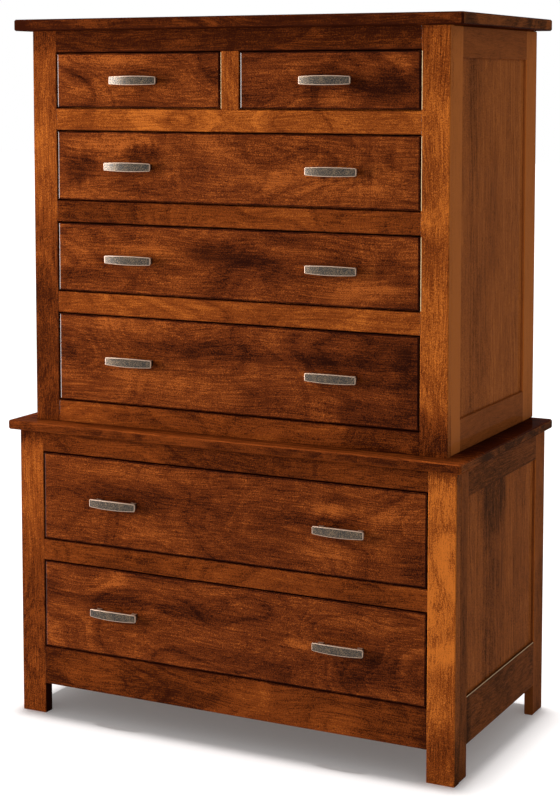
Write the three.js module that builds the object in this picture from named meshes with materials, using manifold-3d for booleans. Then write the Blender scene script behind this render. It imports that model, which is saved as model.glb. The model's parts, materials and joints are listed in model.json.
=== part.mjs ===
// A chest on chest: a five-drawer upper case standing on a wider two-drawer base with legs.
// Millimetres. X runs to the right seen from the front, Y to the back, Z up.
// The origin is at the middle of the footprint, on the floor.

import * as THREE from "three";
import { mergeVertices } from "three/addons/utils/BufferGeometryUtils.js";
import { ConvexGeometry } from "three/addons/geometries/ConvexGeometry.js";
import Module from "manifold-3d";

const wasm = await Module();
wasm.setup();

// Driving dimensions of the lower case, from the floor up
const lowerCaseWidth = 1130;
const lowerCaseDepth = 584;
const lowerFaceFrameThickness = 27;
const footHeight = 74;
const apronHeight = 92;
const fifthOpeningHeight = 214;
const sixthOpeningHeight = 214;
const lowerRailHeight = 51;
const lowerSideStileWidth = 43;
const lowerRearStileWidth = 68;
const lowerSideTopRailHeight = 67;
const lowerSideBottomRailHeight = 108;
const lowerTopThickness = 22;
const lowerTopSideOverhang = 19;
const lowerTopFrontOverhang = 25;

// Driving dimensions of the upper case
const upperCaseWidth = 1067;
const upperCaseDepth = 559;
const upperFaceFrameThickness = 19;
const smallOpeningHeight = 132;
const secondOpeningHeight = 166.5;
const thirdOpeningHeight = 166.5;
const fourthOpeningHeight = 212;
const upperRailHeight = 51;
const muntinWidth = 48;
const upperSideStileWidth = 53.5;
const upperRearStileWidth = 75;
const upperSideTopRailHeight = 69;
const upperSideBottomRailHeight = 74;
const upperTopThickness = 27;
const upperTopSideOverhang = 38;
const upperTopFrontOverhang = 25;

// Stock and joints that both cases share
const faceStileWidth = 66.5;
const sideFrameThickness = 22;
const sidePanelThickness = 6;
const sidePanelRecess = 7;
const panelGrooveDepth = 8;
const backPanelThickness = 6;
const backRabbetWidth = 10;
const jointGap = 0.25;
const dadoDepth = 5;
const tenonLength = 18;
const tenonThickness = 8;
const tenonShoulder = 8;
const muntinTenonLength = 12;
const edgeEase = 1.5;
const cornerEase = 2;
const topEase = 3;

// Runner frames behind the rails
const runnerFrameThickness = 19;
const crossMemberWidth = 64;
const dustPanelThickness = 5;
const guideWidth = 24;
const guideHeight = 12;
const kickerWidth = 36;
const stopBlockLength = 18;
const stopBlockWidth = 32;

// Drawers
const frontReveal = 3;
const runningGap = 0.3;
const sideClearance = 0.5;
const frontThickness = 20;
const frontBevelWidth = 3;
const frontBevelDepth = 1.3;
const drawerSideThickness = 12;
const drawerSideDrop = 6;
const drawerBackDrop = 14;
const drawerRearSpace = 30;
const bottomPanelThickness = 6;
const bottomGrooveHeight = 10;
const bottomGrooveDepth = 6;
const tailLength = 13;
const tailPitch = 40;
const tailRootShare = 0.44;
const tailSlopeShare = 0.15;

// Pulls: a bowed strap on two posts, each held by a screw from inside the drawer
const pullLength = 126;
const pullPostSpacing = 96;
const pullEndHeight = 17.5;
const pullMiddleHeight = 21.5;
const pullEndProjection = 22;
const pullProjection = 28;
const pullThickness = 5;
const pullBevelWidth = 2.4;
const pullBevelDepth = 1.4;
const postBaseWidth = 15;
const postBaseHeight = 14;
const postTipWidth = 12;
const postTipHeight = 12;
const screwRadius = 2;
const screwHoleRadius = 2.6;
const screwHeadRadius = 4.5;
const screwHeadThickness = 2.5;
const pullInset = 203;

// How finely the round and bowed forms are faceted
const screwSides = 10;
const strapSteps = 10;

// An overrun that carries every cutter past the face it leaves
const overrun = 5;

// Finishes
const frameFinish = new THREE.MeshStandardMaterial({ color: 0x8a4415, roughness: 0.38, metalness: 0 });
const railFinish = new THREE.MeshStandardMaterial({ color: 0x7d3a13, roughness: 0.38, metalness: 0 });
const frontFinish = new THREE.MeshStandardMaterial({ color: 0x6b2d10, roughness: 0.34, metalness: 0 });
const sideFinish = new THREE.MeshStandardMaterial({ color: 0x6a3a1c, roughness: 0.42, metalness: 0 });
const topFinish = new THREE.MeshStandardMaterial({ color: 0x74360f, roughness: 0.34, metalness: 0 });
const boxFinish = new THREE.MeshStandardMaterial({ color: 0xd9b98a, roughness: 0.5, metalness: 0 });
const plyFinish = new THREE.MeshStandardMaterial({ color: 0xc79f6c, roughness: 0.6, metalness: 0 });
const pewterFinish = new THREE.MeshStandardMaterial({ color: 0x6e6862, roughness: 0.42, metalness: 0.85 });

// Places that follow from the sizes
const lowerCaseHeight =
  footHeight + apronHeight + sixthOpeningHeight + lowerRailHeight + fifthOpeningHeight + lowerRailHeight;
const upperOpeningSum =
  smallOpeningHeight + secondOpeningHeight + thirdOpeningHeight + fourthOpeningHeight;
const upperRailCount = 5;
const upperCaseHeight = upperOpeningSum + upperRailCount * upperRailHeight;
const frontReach = Math.max(lowerTopFrontOverhang, pullProjection);
const backPlane = (lowerCaseDepth + frontReach) / 2;
const upperCaseBase = lowerCaseHeight + lowerTopThickness + 2 * jointGap;

// A closed mesh with shared vertices, as a solid that can be joined and cut
function solidOf(geometry) {
  const bare = geometry.clone();
  bare.deleteAttribute("normal");
  bare.deleteAttribute("uv");
  const merged = mergeVertices(bare);
  const mesh = new wasm.Mesh({
    numProp: 3,
    vertProperties: new Float32Array(merged.attributes.position.array),
    triVerts: new Uint32Array(merged.index.array),
  });
  return new wasm.Manifold(mesh);
}

// The triangles of a solid, flat shaded
function geometryOf(solid) {
  const mesh = solid.getMesh();
  const corners = new THREE.BufferAttribute(new Float32Array(mesh.vertProperties), mesh.numProp);
  const indexed = new THREE.BufferGeometry();
  indexed.setAttribute("position", corners);
  indexed.setIndex(new THREE.BufferAttribute(new Uint32Array(mesh.triVerts), 1));
  const geometry = indexed.toNonIndexed();
  geometry.computeVertexNormals();
  return geometry;
}

// One solid made of several that overlap
function join(...solids) {
  return solids.reduce((whole, solid) => whole.add(solid));
}

// One solid with others cut out of it
function cut(base, ...cutters) {
  return cutters.reduce((rest, cutter) => rest.subtract(cutter), base);
}

// The two ends of a span in rising order
function rising(span) {
  return span[0] < span[1] ? span : [span[1], span[0]];
}

// A square-edged block between two values on each axis
function block(x, y, z) {
  const spans = [x, y, z].map(rising);
  const [width, depth, height] = spans.map(([low, high]) => high - low);
  const geometry = new THREE.BoxGeometry(width, depth, height);
  const [middleX, middleY, middleZ] = spans.map(([low, high]) => (low + high) / 2);
  geometry.translate(middleX, middleY, middleZ);
  return solidOf(geometry);
}

// A block grown by the same amount on every face
function grownBlock(x, y, z, amount) {
  const grown = [x, y, z].map(rising).map(([low, high]) => [low - amount, high + amount]);
  return block(...grown);
}

// A board whose twelve edges are all eased by the same chamfer
function easedBoard(x, y, z, ease) {
  const [[left, right], [front, back], [bottom, top]] = [x, y, z].map(rising);
  const shape = new THREE.Shape();
  shape.moveTo(left + ease * 2, front + ease);
  shape.lineTo(right - ease * 2, front + ease);
  shape.lineTo(right - ease, front + ease * 2);
  shape.lineTo(right - ease, back - ease * 2);
  shape.lineTo(right - ease * 2, back - ease);
  shape.lineTo(left + ease * 2, back - ease);
  shape.lineTo(left + ease, back - ease * 2);
  shape.lineTo(left + ease, front + ease * 2);
  shape.closePath();
  const geometry = new THREE.ExtrudeGeometry(shape, {
    depth: top - bottom - 2 * ease,
    bevelEnabled: true,
    bevelSegments: 1,
    bevelSize: ease,
    bevelThickness: ease,
    steps: 1,
  });
  geometry.translate(0, 0, bottom + ease);
  return solidOf(geometry);
}

// A straight-sided body between a rectangle at one depth and another rectangle at a second depth
function taperedInDepth(depths, rectangles) {
  const points = [];
  depths.forEach((y, i) => {
    const { x, z } = rectangles[i];
    x.forEach((px) => z.forEach((pz) => points.push(new THREE.Vector3(px, y, pz))));
  });
  return solidOf(new ConvexGeometry(points));
}

// The same body lying across the width
function taperedInWidth(widths, rectangles) {
  const points = [];
  widths.forEach((x, i) => {
    const { y, z } = rectangles[i];
    y.forEach((py) => z.forEach((pz) => points.push(new THREE.Vector3(x, py, pz))));
  });
  return solidOf(new ConvexGeometry(points));
}

// A round rod along Y
function rod(x, z, y, radius) {
  const [near, far] = rising(y);
  const geometry = new THREE.CylinderGeometry(radius, radius, far - near, screwSides);
  geometry.translate(x, (near + far) / 2, z);
  return solidOf(geometry);
}

// An outline of depth and height points, carried across the width
function extrudedAcross(outline, x) {
  const [left, right] = rising(x);
  const shape = new THREE.Shape(outline.map(([y, z]) => new THREE.Vector2(y, z)));
  const geometry = new THREE.ExtrudeGeometry(shape, { depth: right - left, bevelEnabled: false, steps: 1 });
  geometry.applyMatrix4(new THREE.Matrix4().set(0, 0, 1, left, 1, 0, 0, 0, 0, 1, 0, 0, 0, 0, 0, 1));
  return solidOf(geometry);
}

// A skin through equal rings of points, closed by a fan at each end
function loft(rings) {
  const sides = rings[0].length;
  const positions = rings.flat(2);
  const triangles = [];
  for (let ring = 0; ring + 1 < rings.length; ring += 1) {
    for (let side = 0; side < sides; side += 1) {
      const next = (side + 1) % sides;
      const [a, b] = [ring * sides + side, ring * sides + next];
      triangles.push(a, b, b + sides, a, b + sides, a + sides);
    }
  }
  const last = (rings.length - 1) * sides;
  for (let side = 1; side + 1 < sides; side += 1) {
    triangles.push(0, side + 1, side);
    triangles.push(last, last + side, last + side + 1);
  }
  const geometry = new THREE.BufferGeometry();
  geometry.setAttribute("position", new THREE.Float32BufferAttribute(positions, 3));
  geometry.setIndex(triangles);
  return solidOf(geometry);
}

// Adds a solid to a group under its own name
function addPart(group, name, solid, material) {
  const mesh = new THREE.Mesh(geometryOf(solid), material);
  mesh.name = name;
  group.add(mesh);
}

// The flared cutter that eases the front edges of a face frame around one opening
function openingEase(opening) {
  const grow = edgeEase + overrun;
  const [left, right] = opening.x;
  const [bottom, top] = opening.z;
  const near = { x: [left - grow, right + grow], z: [bottom - grow, top + grow] };
  const far = { x: [left, right], z: [bottom, top] };
  return taperedInDepth([-overrun, edgeEase], [near, far]);
}

// The tenon on one end of a rail, as a block that can be grown into its mortise
function railTenon(side, shoulderX, faceThickness, z) {
  const middle = faceThickness / 2;
  const x = [shoulderX - side * overrun, shoulderX + side * (tenonLength - jointGap)];
  const y = [middle - tenonThickness / 2, middle + tenonThickness / 2];
  return [x, y, [z[0] + tenonShoulder, z[1] - tenonShoulder]];
}

// The stub tenon on the top or bottom end of the muntin
function muntinTenon(up, shoulderZ, faceThickness) {
  const middle = faceThickness / 2;
  const x = [-muntinWidth / 2 + tenonShoulder, muntinWidth / 2 - tenonShoulder];
  const y = [middle - tenonThickness / 2, middle + tenonThickness / 2];
  return [x, y, [shoulderZ - up * overrun, shoulderZ + up * (muntinTenonLength - jointGap)]];
}

// The length of a rail's runner frame, from the face frame to the back panel
function runnerDepths(sizes) {
  return [sizes.faceThickness + jointGap, sizes.depth - backPanelThickness - 2 * jointGap];
}

// The height band of a rail's runner frame: raised to carry a drawer, or flush under a top board
function plateHeights(rail) {
  const top = rail.carries ? rail.z[1] + frontReveal - runningGap : rail.z[1];
  return [top - runnerFrameThickness, top];
}

// A rail of the face frame with the runner frame glued behind it
function railWithRunnerFrame(sizes, rail) {
  const half = sizes.width / 2;
  const openHalf = half - faceStileWidth;
  const [front, back] = runnerDepths(sizes);
  const [plateBottom, plateTop] = plateHeights(rail);
  const plateHalf = half - sideFrameThickness + dadoDepth - jointGap;
  const plate = block([-plateHalf, plateHalf], [front, back], [plateBottom, plateTop]);

  const board = block([-openHalf + jointGap, openHalf - jointGap], [0, front + overrun], rail.z);
  const trim = block([-half, half], [front, front + 2 * overrun], [plateTop, rail.z[1] + overrun]);
  const underTrim = block([-half, half], [front, front + 2 * overrun], [rail.z[0] - overrun, plateBottom]);
  const tenons = [-1, 1].map((side) =>
    block(...railTenon(side, side * (openHalf - jointGap), sizes.faceThickness, rail.z)),
  );
  let solid = join(cut(board, trim, underTrim), plate, ...tenons);

  const pocket = (runnerFrameThickness - dustPanelThickness) / 2;
  const split = muntinWidth / 2 + kickerWidth;
  const outer = openHalf - kickerWidth;
  const bays = rail.split ? [[-outer, -split], [split, outer]] : [[-outer, outer]];
  const depthBand = [front + crossMemberWidth, back - crossMemberWidth];
  bays.forEach((bay) => {
    const upper = block(bay, depthBand, [plateTop - pocket, plateTop + overrun]);
    const lower = block(bay, depthBand, [plateBottom - overrun, plateBottom + pocket]);
    solid = cut(solid, upper, lower);
  });

  if (rail.carries) {
    const [left, right] = [rail.above[0].x[0], rail.above[rail.above.length - 1].x[1]];
    const play = frontReveal - sideClearance;
    const guideTop = plateTop + guideHeight;
    [[-1, left + play], [1, right - play]].forEach(([side, edge]) => {
      const guide = block([edge, edge + side * guideWidth], [front, back], [plateTop - pocket / 2, guideTop]);
      solid = join(solid, guide);
    });
    const stopFront = drawerDepth(sizes) + runningGap;
    rail.above.forEach((opening) => {
      [[opening.x[0] + play, 1], [opening.x[1] - play, -1]].forEach(([edge, inward]) => {
        const x = [edge - inward * play, edge + inward * stopBlockWidth];
        const y = [stopFront, stopFront + stopBlockLength];
        solid = join(solid, block(x, y, [plateTop - pocket / 2, guideTop]));
      });
    });
  }

  rail.below.forEach((opening) => {
    [[opening.x[0], 1], [opening.x[1], -1]].forEach(([edge, inward]) => {
      const x = [edge, edge + inward * kickerWidth];
      solid = join(solid, block(x, [front, back], [rail.z[0], plateBottom + pocket / 2]));
    });
  });
  return solid;
}

// The depth of a drawer, from the face of its front to the rear of its back
function drawerDepth(sizes) {
  return sizes.depth - backPanelThickness - drawerRearSpace;
}

// Where a side panel lies: its thickness across the case and its size in the frame's window
function panelSpans(sizes, side, windowY, windowZ) {
  const outer = sizes.width / 2 - sidePanelRecess;
  const reach = panelGrooveDepth - jointGap;
  const x = [side * outer, side * (outer - sidePanelThickness)];
  return [x, [windowY[0] - reach, windowY[1] + reach], [windowZ[0] - reach, windowZ[1] + reach]];
}

// One side of a case: stiles and rails round a window, grooved for the panel, dadoed for the
// runner frames and rabbeted for the back
function sideFrame(sizes, side) {
  const outer = sizes.width / 2;
  const inner = outer - sideFrameThickness;
  const front = sizes.faceThickness + jointGap;
  const { windowY, windowZ } = sizes;
  const slabY = [front - cornerEase, sizes.depth];
  const slab = easedBoard([side * inner, side * outer], slabY, [0, sizes.height], cornerEase);
  const squareFront = block([-outer, outer], [-overrun, front], [-overrun, sizes.height + overrun]);
  const across = [side * (inner - overrun), side * (outer + overrun)];
  let solid = cut(slab, squareFront, block(across, windowY, windowZ));

  const grow = edgeEase + overrun;
  const flare = [
    { y: windowY, z: windowZ },
    { y: [windowY[0] - grow, windowY[1] + grow], z: [windowZ[0] - grow, windowZ[1] + grow] },
  ];
  solid = cut(solid, taperedInWidth([side * (outer - edgeEase), side * (outer + overrun)], flare));

  const panel = panelSpans(sizes, side, windowY, windowZ);
  solid = cut(solid, grownBlock(...panel, jointGap));

  const rabbet = [side * (inner - overrun), side * (inner + backRabbetWidth)];
  const rabbetFront = sizes.depth - backPanelThickness - jointGap;
  const rabbetZ = [sizes.backBase, sizes.height + overrun];
  solid = cut(solid, block(rabbet, [rabbetFront, sizes.depth + overrun], rabbetZ));

  sizes.rails.forEach((rail) => {
    const [low, high] = plateHeights(rail);
    const dado = [side * (inner - overrun), side * (inner + dadoDepth)];
    const dadoY = [front - overrun, rabbetFront + overrun];
    solid = cut(solid, block(dado, dadoY, [low - jointGap, high + jointGap]));
  });

  if (sizes.footHeight) {
    const gap = [front + sizes.sideStileWidth, sizes.depth - sizes.rearStileWidth];
    solid = cut(solid, block(across, gap, [-overrun, sizes.footHeight]));
  }
  return solid;
}

// One upright of the face frame, with its outer front corner eased and its mortises cut
function faceStile(sizes, side) {
  const outer = sizes.width / 2;
  const inner = outer - faceStileWidth;
  const x = [side * inner, side * outer];
  const board = block(x, [0, sizes.faceThickness], [0, sizes.height]);
  const corner = [
    { y: [-overrun, cornerEase], z: [-overrun, sizes.height + overrun] },
    { y: [-overrun, -overrun / 2], z: [-overrun, sizes.height + overrun] },
  ];
  const nearX = side * outer;
  const farX = side * (outer - cornerEase - overrun / 2);
  let solid = cut(board, taperedInWidth([nearX, farX], corner));
  sizes.rails.forEach((rail) => {
    const tenon = railTenon(side, side * (inner - jointGap), sizes.faceThickness, rail.z);
    const mortise = grownBlock(...tenon, jointGap);
    solid = cut(solid, mortise);
  });
  sizes.openings.forEach((opening) => {
    solid = cut(solid, openingEase(opening));
  });
  return solid;
}

// The plain parts that every case has: stiles, rails with runner frames, side frames, panels, back
function buildCase(group, sizes) {
  [[-1, "left"], [1, "right"]].forEach(([side, word]) => {
    addPart(group, `${sizes.name}_stile_${word}`, faceStile(sizes, side), frameFinish);
    addPart(group, `${sizes.name}_side_frame_${word}`, sideFrame(sizes, side), sideFinish);
    const panel = block(...panelSpans(sizes, side, sizes.windowY, sizes.windowZ));
    addPart(group, `${sizes.name}_side_panel_${word}`, panel, sideFinish);
  });
  sizes.rails.forEach((rail) => {
    let solid = railWithRunnerFrame(sizes, rail);
    sizes.openings.forEach((opening) => {
      solid = cut(solid, openingEase(opening));
    });
    if (rail.mortised) {
      const up = rail.mortised;
      const shoulder = up > 0 ? rail.z[0] - jointGap : rail.z[1] + jointGap;
      solid = cut(solid, grownBlock(...muntinTenon(up, shoulder, sizes.faceThickness), jointGap));
    }
    addPart(group, rail.name, solid, railFinish);
  });
  const backHalf = sizes.width / 2 - sideFrameThickness + backRabbetWidth - jointGap;
  const back = block(
    [-backHalf, backHalf],
    [sizes.depth - backPanelThickness, sizes.depth],
    [sizes.backBase + jointGap, sizes.height],
  );
  addPart(group, `${sizes.name}_back_panel`, back, plyFinish);
}

// The top board of a case, overhanging its front and sides and flush with its back
function addTop(group, sizes) {
  const half = sizes.width / 2 + sizes.topSideOverhang;
  const base = sizes.height + jointGap;
  const z = [base, base + sizes.topThickness];
  const top = easedBoard([-half, half], [-sizes.topFrontOverhang, sizes.depth], z, topEase);
  addPart(group, `${sizes.name}_top_board`, top, topFinish);
}

// A drawer's opening of a given height, above the rail that carries it
function openingAbove(name, x, railTop, height) {
  return { name, x, z: [railTop, railTop + height] };
}

// The lower case, its openings counted from the apron up
function lowerCaseSizes() {
  const half = lowerCaseWidth / 2 - faceStileWidth;
  const wide = [-half, half];
  const apronTop = footHeight + apronHeight;
  const sixth = openingAbove("sixth_drawer", wide, apronTop, sixthOpeningHeight);
  const fifth = openingAbove("fifth_drawer", wide, sixth.z[1] + lowerRailHeight, fifthOpeningHeight);
  const front = lowerFaceFrameThickness + jointGap;
  return {
    name: "lower",
    width: lowerCaseWidth,
    depth: lowerCaseDepth,
    height: lowerCaseHeight,
    faceThickness: lowerFaceFrameThickness,
    topThickness: lowerTopThickness,
    topSideOverhang: lowerTopSideOverhang,
    topFrontOverhang: lowerTopFrontOverhang,
    footHeight,
    sideStileWidth: lowerSideStileWidth,
    rearStileWidth: lowerRearStileWidth,
    backBase: footHeight,
    windowY: [front + lowerSideStileWidth, lowerCaseDepth - lowerRearStileWidth],
    windowZ: [footHeight + lowerSideBottomRailHeight, lowerCaseHeight - lowerSideTopRailHeight],
    openings: [sixth, fifth],
    rails: [
      { name: "lower_apron_frame", z: [footHeight, apronTop], carries: true, above: [sixth], below: [] },
      {
        name: "lower_middle_rail_frame",
        z: [sixth.z[1], fifth.z[0]],
        carries: true,
        above: [fifth],
        below: [sixth],
      },
      {
        name: "lower_top_rail_frame",
        z: [fifth.z[1], lowerCaseHeight],
        carries: false,
        above: [],
        below: [fifth],
      },
    ],
  };
}

// The upper case, its openings counted from the bottom rail up
function upperCaseSizes() {
  const half = upperCaseWidth / 2 - faceStileWidth;
  const wide = [-half, half];
  const fourth = openingAbove("fourth_drawer", wide, upperRailHeight, fourthOpeningHeight);
  const third = openingAbove("third_drawer", wide, fourth.z[1] + upperRailHeight, thirdOpeningHeight);
  const second = openingAbove("second_drawer", wide, third.z[1] + upperRailHeight, secondOpeningHeight);
  const firstTop = second.z[1] + upperRailHeight;
  const leftX = [-half, -muntinWidth / 2];
  const rightX = [muntinWidth / 2, half];
  const left = openingAbove("top_left_drawer", leftX, firstTop, smallOpeningHeight);
  const right = openingAbove("top_right_drawer", rightX, firstTop, smallOpeningHeight);
  const front = upperFaceFrameThickness + jointGap;
  return {
    name: "upper",
    width: upperCaseWidth,
    depth: upperCaseDepth,
    height: upperCaseHeight,
    faceThickness: upperFaceFrameThickness,
    topThickness: upperTopThickness,
    topSideOverhang: upperTopSideOverhang,
    topFrontOverhang: upperTopFrontOverhang,
    footHeight: 0,
    sideStileWidth: upperSideStileWidth,
    rearStileWidth: upperRearStileWidth,
    backBase: 0,
    windowY: [front + upperSideStileWidth, upperCaseDepth - upperRearStileWidth],
    windowZ: [upperSideBottomRailHeight, upperCaseHeight - upperSideTopRailHeight],
    openings: [fourth, third, second, left, right],
    rails: [
      { name: "upper_bottom_rail_frame", z: [0, upperRailHeight], carries: true, above: [fourth], below: [] },
      {
        name: "upper_third_rail_frame",
        z: [fourth.z[1], third.z[0]],
        carries: true,
        above: [third],
        below: [fourth],
      },
      {
        name: "upper_second_rail_frame",
        z: [third.z[1], second.z[0]],
        carries: true,
        above: [second],
        below: [third],
      },
      {
        name: "upper_first_rail_frame",
        z: [second.z[1], firstTop],
        carries: true,
        split: true,
        mortised: -1,
        above: [left, right],
        below: [second],
      },
      {
        name: "upper_top_rail_frame",
        z: [left.z[1], upperCaseHeight],
        carries: false,
        split: true,
        mortised: 1,
        above: [],
        below: [left, right],
      },
    ],
  };
}

// The short upright between the two small drawers, and the guide that continues it to the back
function addMuntin(group, sizes) {
  const [bottom, top] = sizes.openings[sizes.openings.length - 1].z;
  const z = [bottom + jointGap, top - jointGap];
  const half = muntinWidth / 2;
  const post = block([-half, half], [0, sizes.faceThickness], z);
  const tenons = [[-1, z[0]], [1, z[1]]].map(([up, shoulder]) =>
    block(...muntinTenon(up, shoulder, sizes.faceThickness)),
  );
  let solid = join(post, ...tenons);
  sizes.openings.forEach((opening) => {
    solid = cut(solid, openingEase(opening));
  });
  addPart(group, "upper_muntin", solid, frameFinish);

  const rail = sizes.rails.find((candidate) => candidate.above.length > 1);
  const [, plateTop] = plateHeights(rail);
  const [front] = runnerDepths(sizes);
  const reach = half + frontReveal - sideClearance;
  const y = [front, drawerDepth(sizes)];
  const guide = block([-reach, reach], y, [plateTop + jointGap, plateTop + jointGap + guideHeight]);
  addPart(group, "upper_middle_guide", guide, boxFinish);
}

// The tails on the front end of a drawer side, as outlines of depth and height.
// Each tail widens towards its tip, and grow adds a clearance all round it.
function tailOutlines(sideHeight, grow) {
  const count = Math.max(2, Math.round(sideHeight / tailPitch));
  const pitch = sideHeight / count;
  const rootHalf = (pitch * tailRootShare) / 2;
  const tipHalf = rootHalf + tailLength * tailSlopeShare;
  const tipY = frontThickness - tailLength;
  const rootY = frontThickness + overrun;
  const rootSpread = rootHalf - overrun * tailSlopeShare;
  return Array.from({ length: count }, (_, i) => {
    const middle = (i + 0.5) * pitch;
    return [
      [tipY + jointGap - grow, middle - tipHalf - grow],
      [rootY, middle - rootSpread - grow],
      [rootY, middle + rootSpread + grow],
      [tipY + jointGap - grow, middle + tipHalf + grow],
    ];
  });
}

// The sizes of one drawer, in a frame whose origin is at the lower middle of its front's face
function drawerSizes(sizes, opening) {
  const width = opening.x[1] - opening.x[0] - 2 * frontReveal;
  const height = opening.z[1] - opening.z[0] - 2 * frontReveal;
  const half = width / 2;
  const depth = drawerDepth(sizes);
  const sideHeight = height - drawerSideDrop;
  const panelHalf = half - drawerSideThickness + bottomGrooveDepth - jointGap;
  const panel = [
    [-panelHalf, panelHalf],
    [frontThickness - bottomGrooveDepth + jointGap, depth],
    [bottomGrooveHeight + jointGap, bottomGrooveHeight + jointGap + bottomPanelThickness],
  ];
  const wide = width > sizes.width / 2;
  const pulls = wide ? [pullInset - half, half - pullInset] : [0];
  return { width, height, half, depth, sideHeight, panel, pulls };
}

// A drawer front: bevelled face, half-blind sockets for the tails, groove for the bottom, screw holes
function drawerFront(drawer) {
  const { half, height, sideHeight, panel, pulls } = drawer;
  const faceHalf = half - frontBevelWidth;
  const face = { x: [-faceHalf, faceHalf], z: [frontBevelWidth, height - frontBevelWidth] };
  const full = { x: [-half, half], z: [0, height] };
  let solid = taperedInDepth([0, frontBevelDepth, frontThickness], [face, full, full]);
  tailOutlines(sideHeight, jointGap).forEach((outline) => {
    [-1, 1].forEach((side) => {
      const x = [side * (half - drawerSideThickness - jointGap), side * (half + overrun)];
      solid = cut(solid, extrudedAcross(outline, x));
    });
  });
  solid = cut(solid, grownBlock(...panel, jointGap));
  pulls.forEach((pullX) => {
    [-1, 1].forEach((side) => {
      const x = pullX + (side * pullPostSpacing) / 2;
      solid = cut(solid, rod(x, height / 2, [-overrun, frontThickness + overrun], screwHoleRadius));
    });
  });
  return solid;
}

// The drawer's two sides with their tails, and its back, grooved for the bottom
function drawerBox(drawer) {
  const { half, depth, sideHeight, panel, height } = drawer;
  const shoulder = frontThickness + jointGap;
  const backTop = height - drawerBackDrop;
  const backX = [-half + drawerSideThickness / 2, half - drawerSideThickness / 2];
  let solid = block(backX, [depth - drawerSideThickness, depth], [panel[2][1], backTop]);
  [-1, 1].forEach((side) => {
    const x = [side * (half - drawerSideThickness), side * half];
    solid = join(solid, block(x, [shoulder, depth], [0, sideHeight]));
    tailOutlines(sideHeight, 0).forEach((outline) => {
      solid = join(solid, extrudedAcross(outline, x));
    });
  });
  return cut(solid, grownBlock(...panel, jointGap));
}

// Half the height of the strap and how far its face stands out, at a place along its length
function strapAt(x) {
  const arch = 1 - (x / (pullLength / 2)) ** 2;
  const halfHeight = (pullEndHeight + (pullMiddleHeight - pullEndHeight) * arch) / 2;
  const projection = pullEndProjection + (pullProjection - pullEndProjection) * arch;
  return { halfHeight, projection };
}

// One section of the strap, as a ring of points with a bevelled face; inset draws it in at the ends
function strapRing(x, inset) {
  const { halfHeight, projection } = strapAt(x);
  const high = halfHeight - inset * pullBevelWidth;
  const face = -projection + inset * pullBevelDepth;
  const edge = face + pullBevelDepth;
  const rear = -projection + pullThickness;
  const flat = high - pullBevelWidth;
  const profile = [
    [face, -flat],
    [edge, -high],
    [rear, -high],
    [rear, high],
    [edge, high],
    [face, flat],
  ];
  return profile.map(([y, z]) => [x, y, z]);
}

// A pull: the bowed strap, its two tapering posts, and the screws that hold it through the front
function pull() {
  const half = pullLength / 2;
  const flat = half - pullBevelWidth;
  const inner = Array.from({ length: strapSteps + 1 }, (_, i) => -flat + (2 * flat * i) / strapSteps);
  const rings = [strapRing(-half, 1), ...inner.map((x) => strapRing(x, 0)), strapRing(half, 1)];
  let solid = loft(rings);
  [-1, 1].forEach((side) => {
    const x = (side * pullPostSpacing) / 2;
    const { projection } = strapAt(x);
    const base = {
      x: [x - postBaseWidth / 2, x + postBaseWidth / 2],
      z: [-postBaseHeight / 2, postBaseHeight / 2],
    };
    const tip = {
      x: [x - postTipWidth / 2, x + postTipWidth / 2],
      z: [-postTipHeight / 2, postTipHeight / 2],
    };
    const post = taperedInDepth([-jointGap, -projection + pullThickness / 2], [base, tip]);
    const headFront = frontThickness + jointGap;
    const shank = rod(x, 0, [-pullEndProjection / 2, headFront + screwHeadThickness / 2], screwRadius);
    const head = rod(x, 0, [headFront, headFront + screwHeadThickness], screwHeadRadius);
    solid = join(solid, post, shank, head);
  });
  return solid;
}

// One drawer with its front, box, bottom and pulls, placed in its opening
function addDrawer(parent, sizes, opening) {
  const drawer = drawerSizes(sizes, opening);
  const group = new THREE.Group();
  const middle = (opening.x[0] + opening.x[1]) / 2;
  group.position.set(middle, 0, opening.z[0] + frontReveal);
  addPart(group, `${opening.name}_front`, drawerFront(drawer), frontFinish);
  addPart(group, `${opening.name}_box`, drawerBox(drawer), boxFinish);
  addPart(group, `${opening.name}_bottom`, block(...drawer.panel), plyFinish);
  drawer.pulls.forEach((x, i) => {
    const mount = new THREE.Group();
    mount.position.set(x, 0, drawer.height / 2);
    const word = drawer.pulls.length > 1 ? `_${["left", "right"][i]}` : "";
    addPart(mount, `${opening.name}_pull${word}`, pull(), pewterFinish);
    group.add(mount);
  });
  parent.add(group);
}

// The whole chest: each case is a group standing with its back on the common back plane
function chestOnChest() {
  const chest = new THREE.Group();
  const lower = new THREE.Group();
  const lowerSizes = lowerCaseSizes();
  lower.position.set(0, backPlane - lowerCaseDepth, 0);
  buildCase(lower, lowerSizes);
  addTop(lower, lowerSizes);
  lowerSizes.openings.forEach((opening) => addDrawer(lower, lowerSizes, opening));

  const upper = new THREE.Group();
  const upperSizes = upperCaseSizes();
  upper.position.set(0, backPlane - upperCaseDepth, upperCaseBase);
  buildCase(upper, upperSizes);
  addMuntin(upper, upperSizes);
  addTop(upper, upperSizes);
  upperSizes.openings.forEach((opening) => addDrawer(upper, upperSizes, opening));

  chest.add(lower, upper);
  return chest;
}

export default chestOnChest();
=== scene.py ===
"""A chest on chest in stained maple with pewter bar pulls.

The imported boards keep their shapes: they get eased edges and their finishes here, and the pulls
and screws are made as fine surfaces. Metres, X to the right seen from the front, Y to the back.
"""

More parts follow.
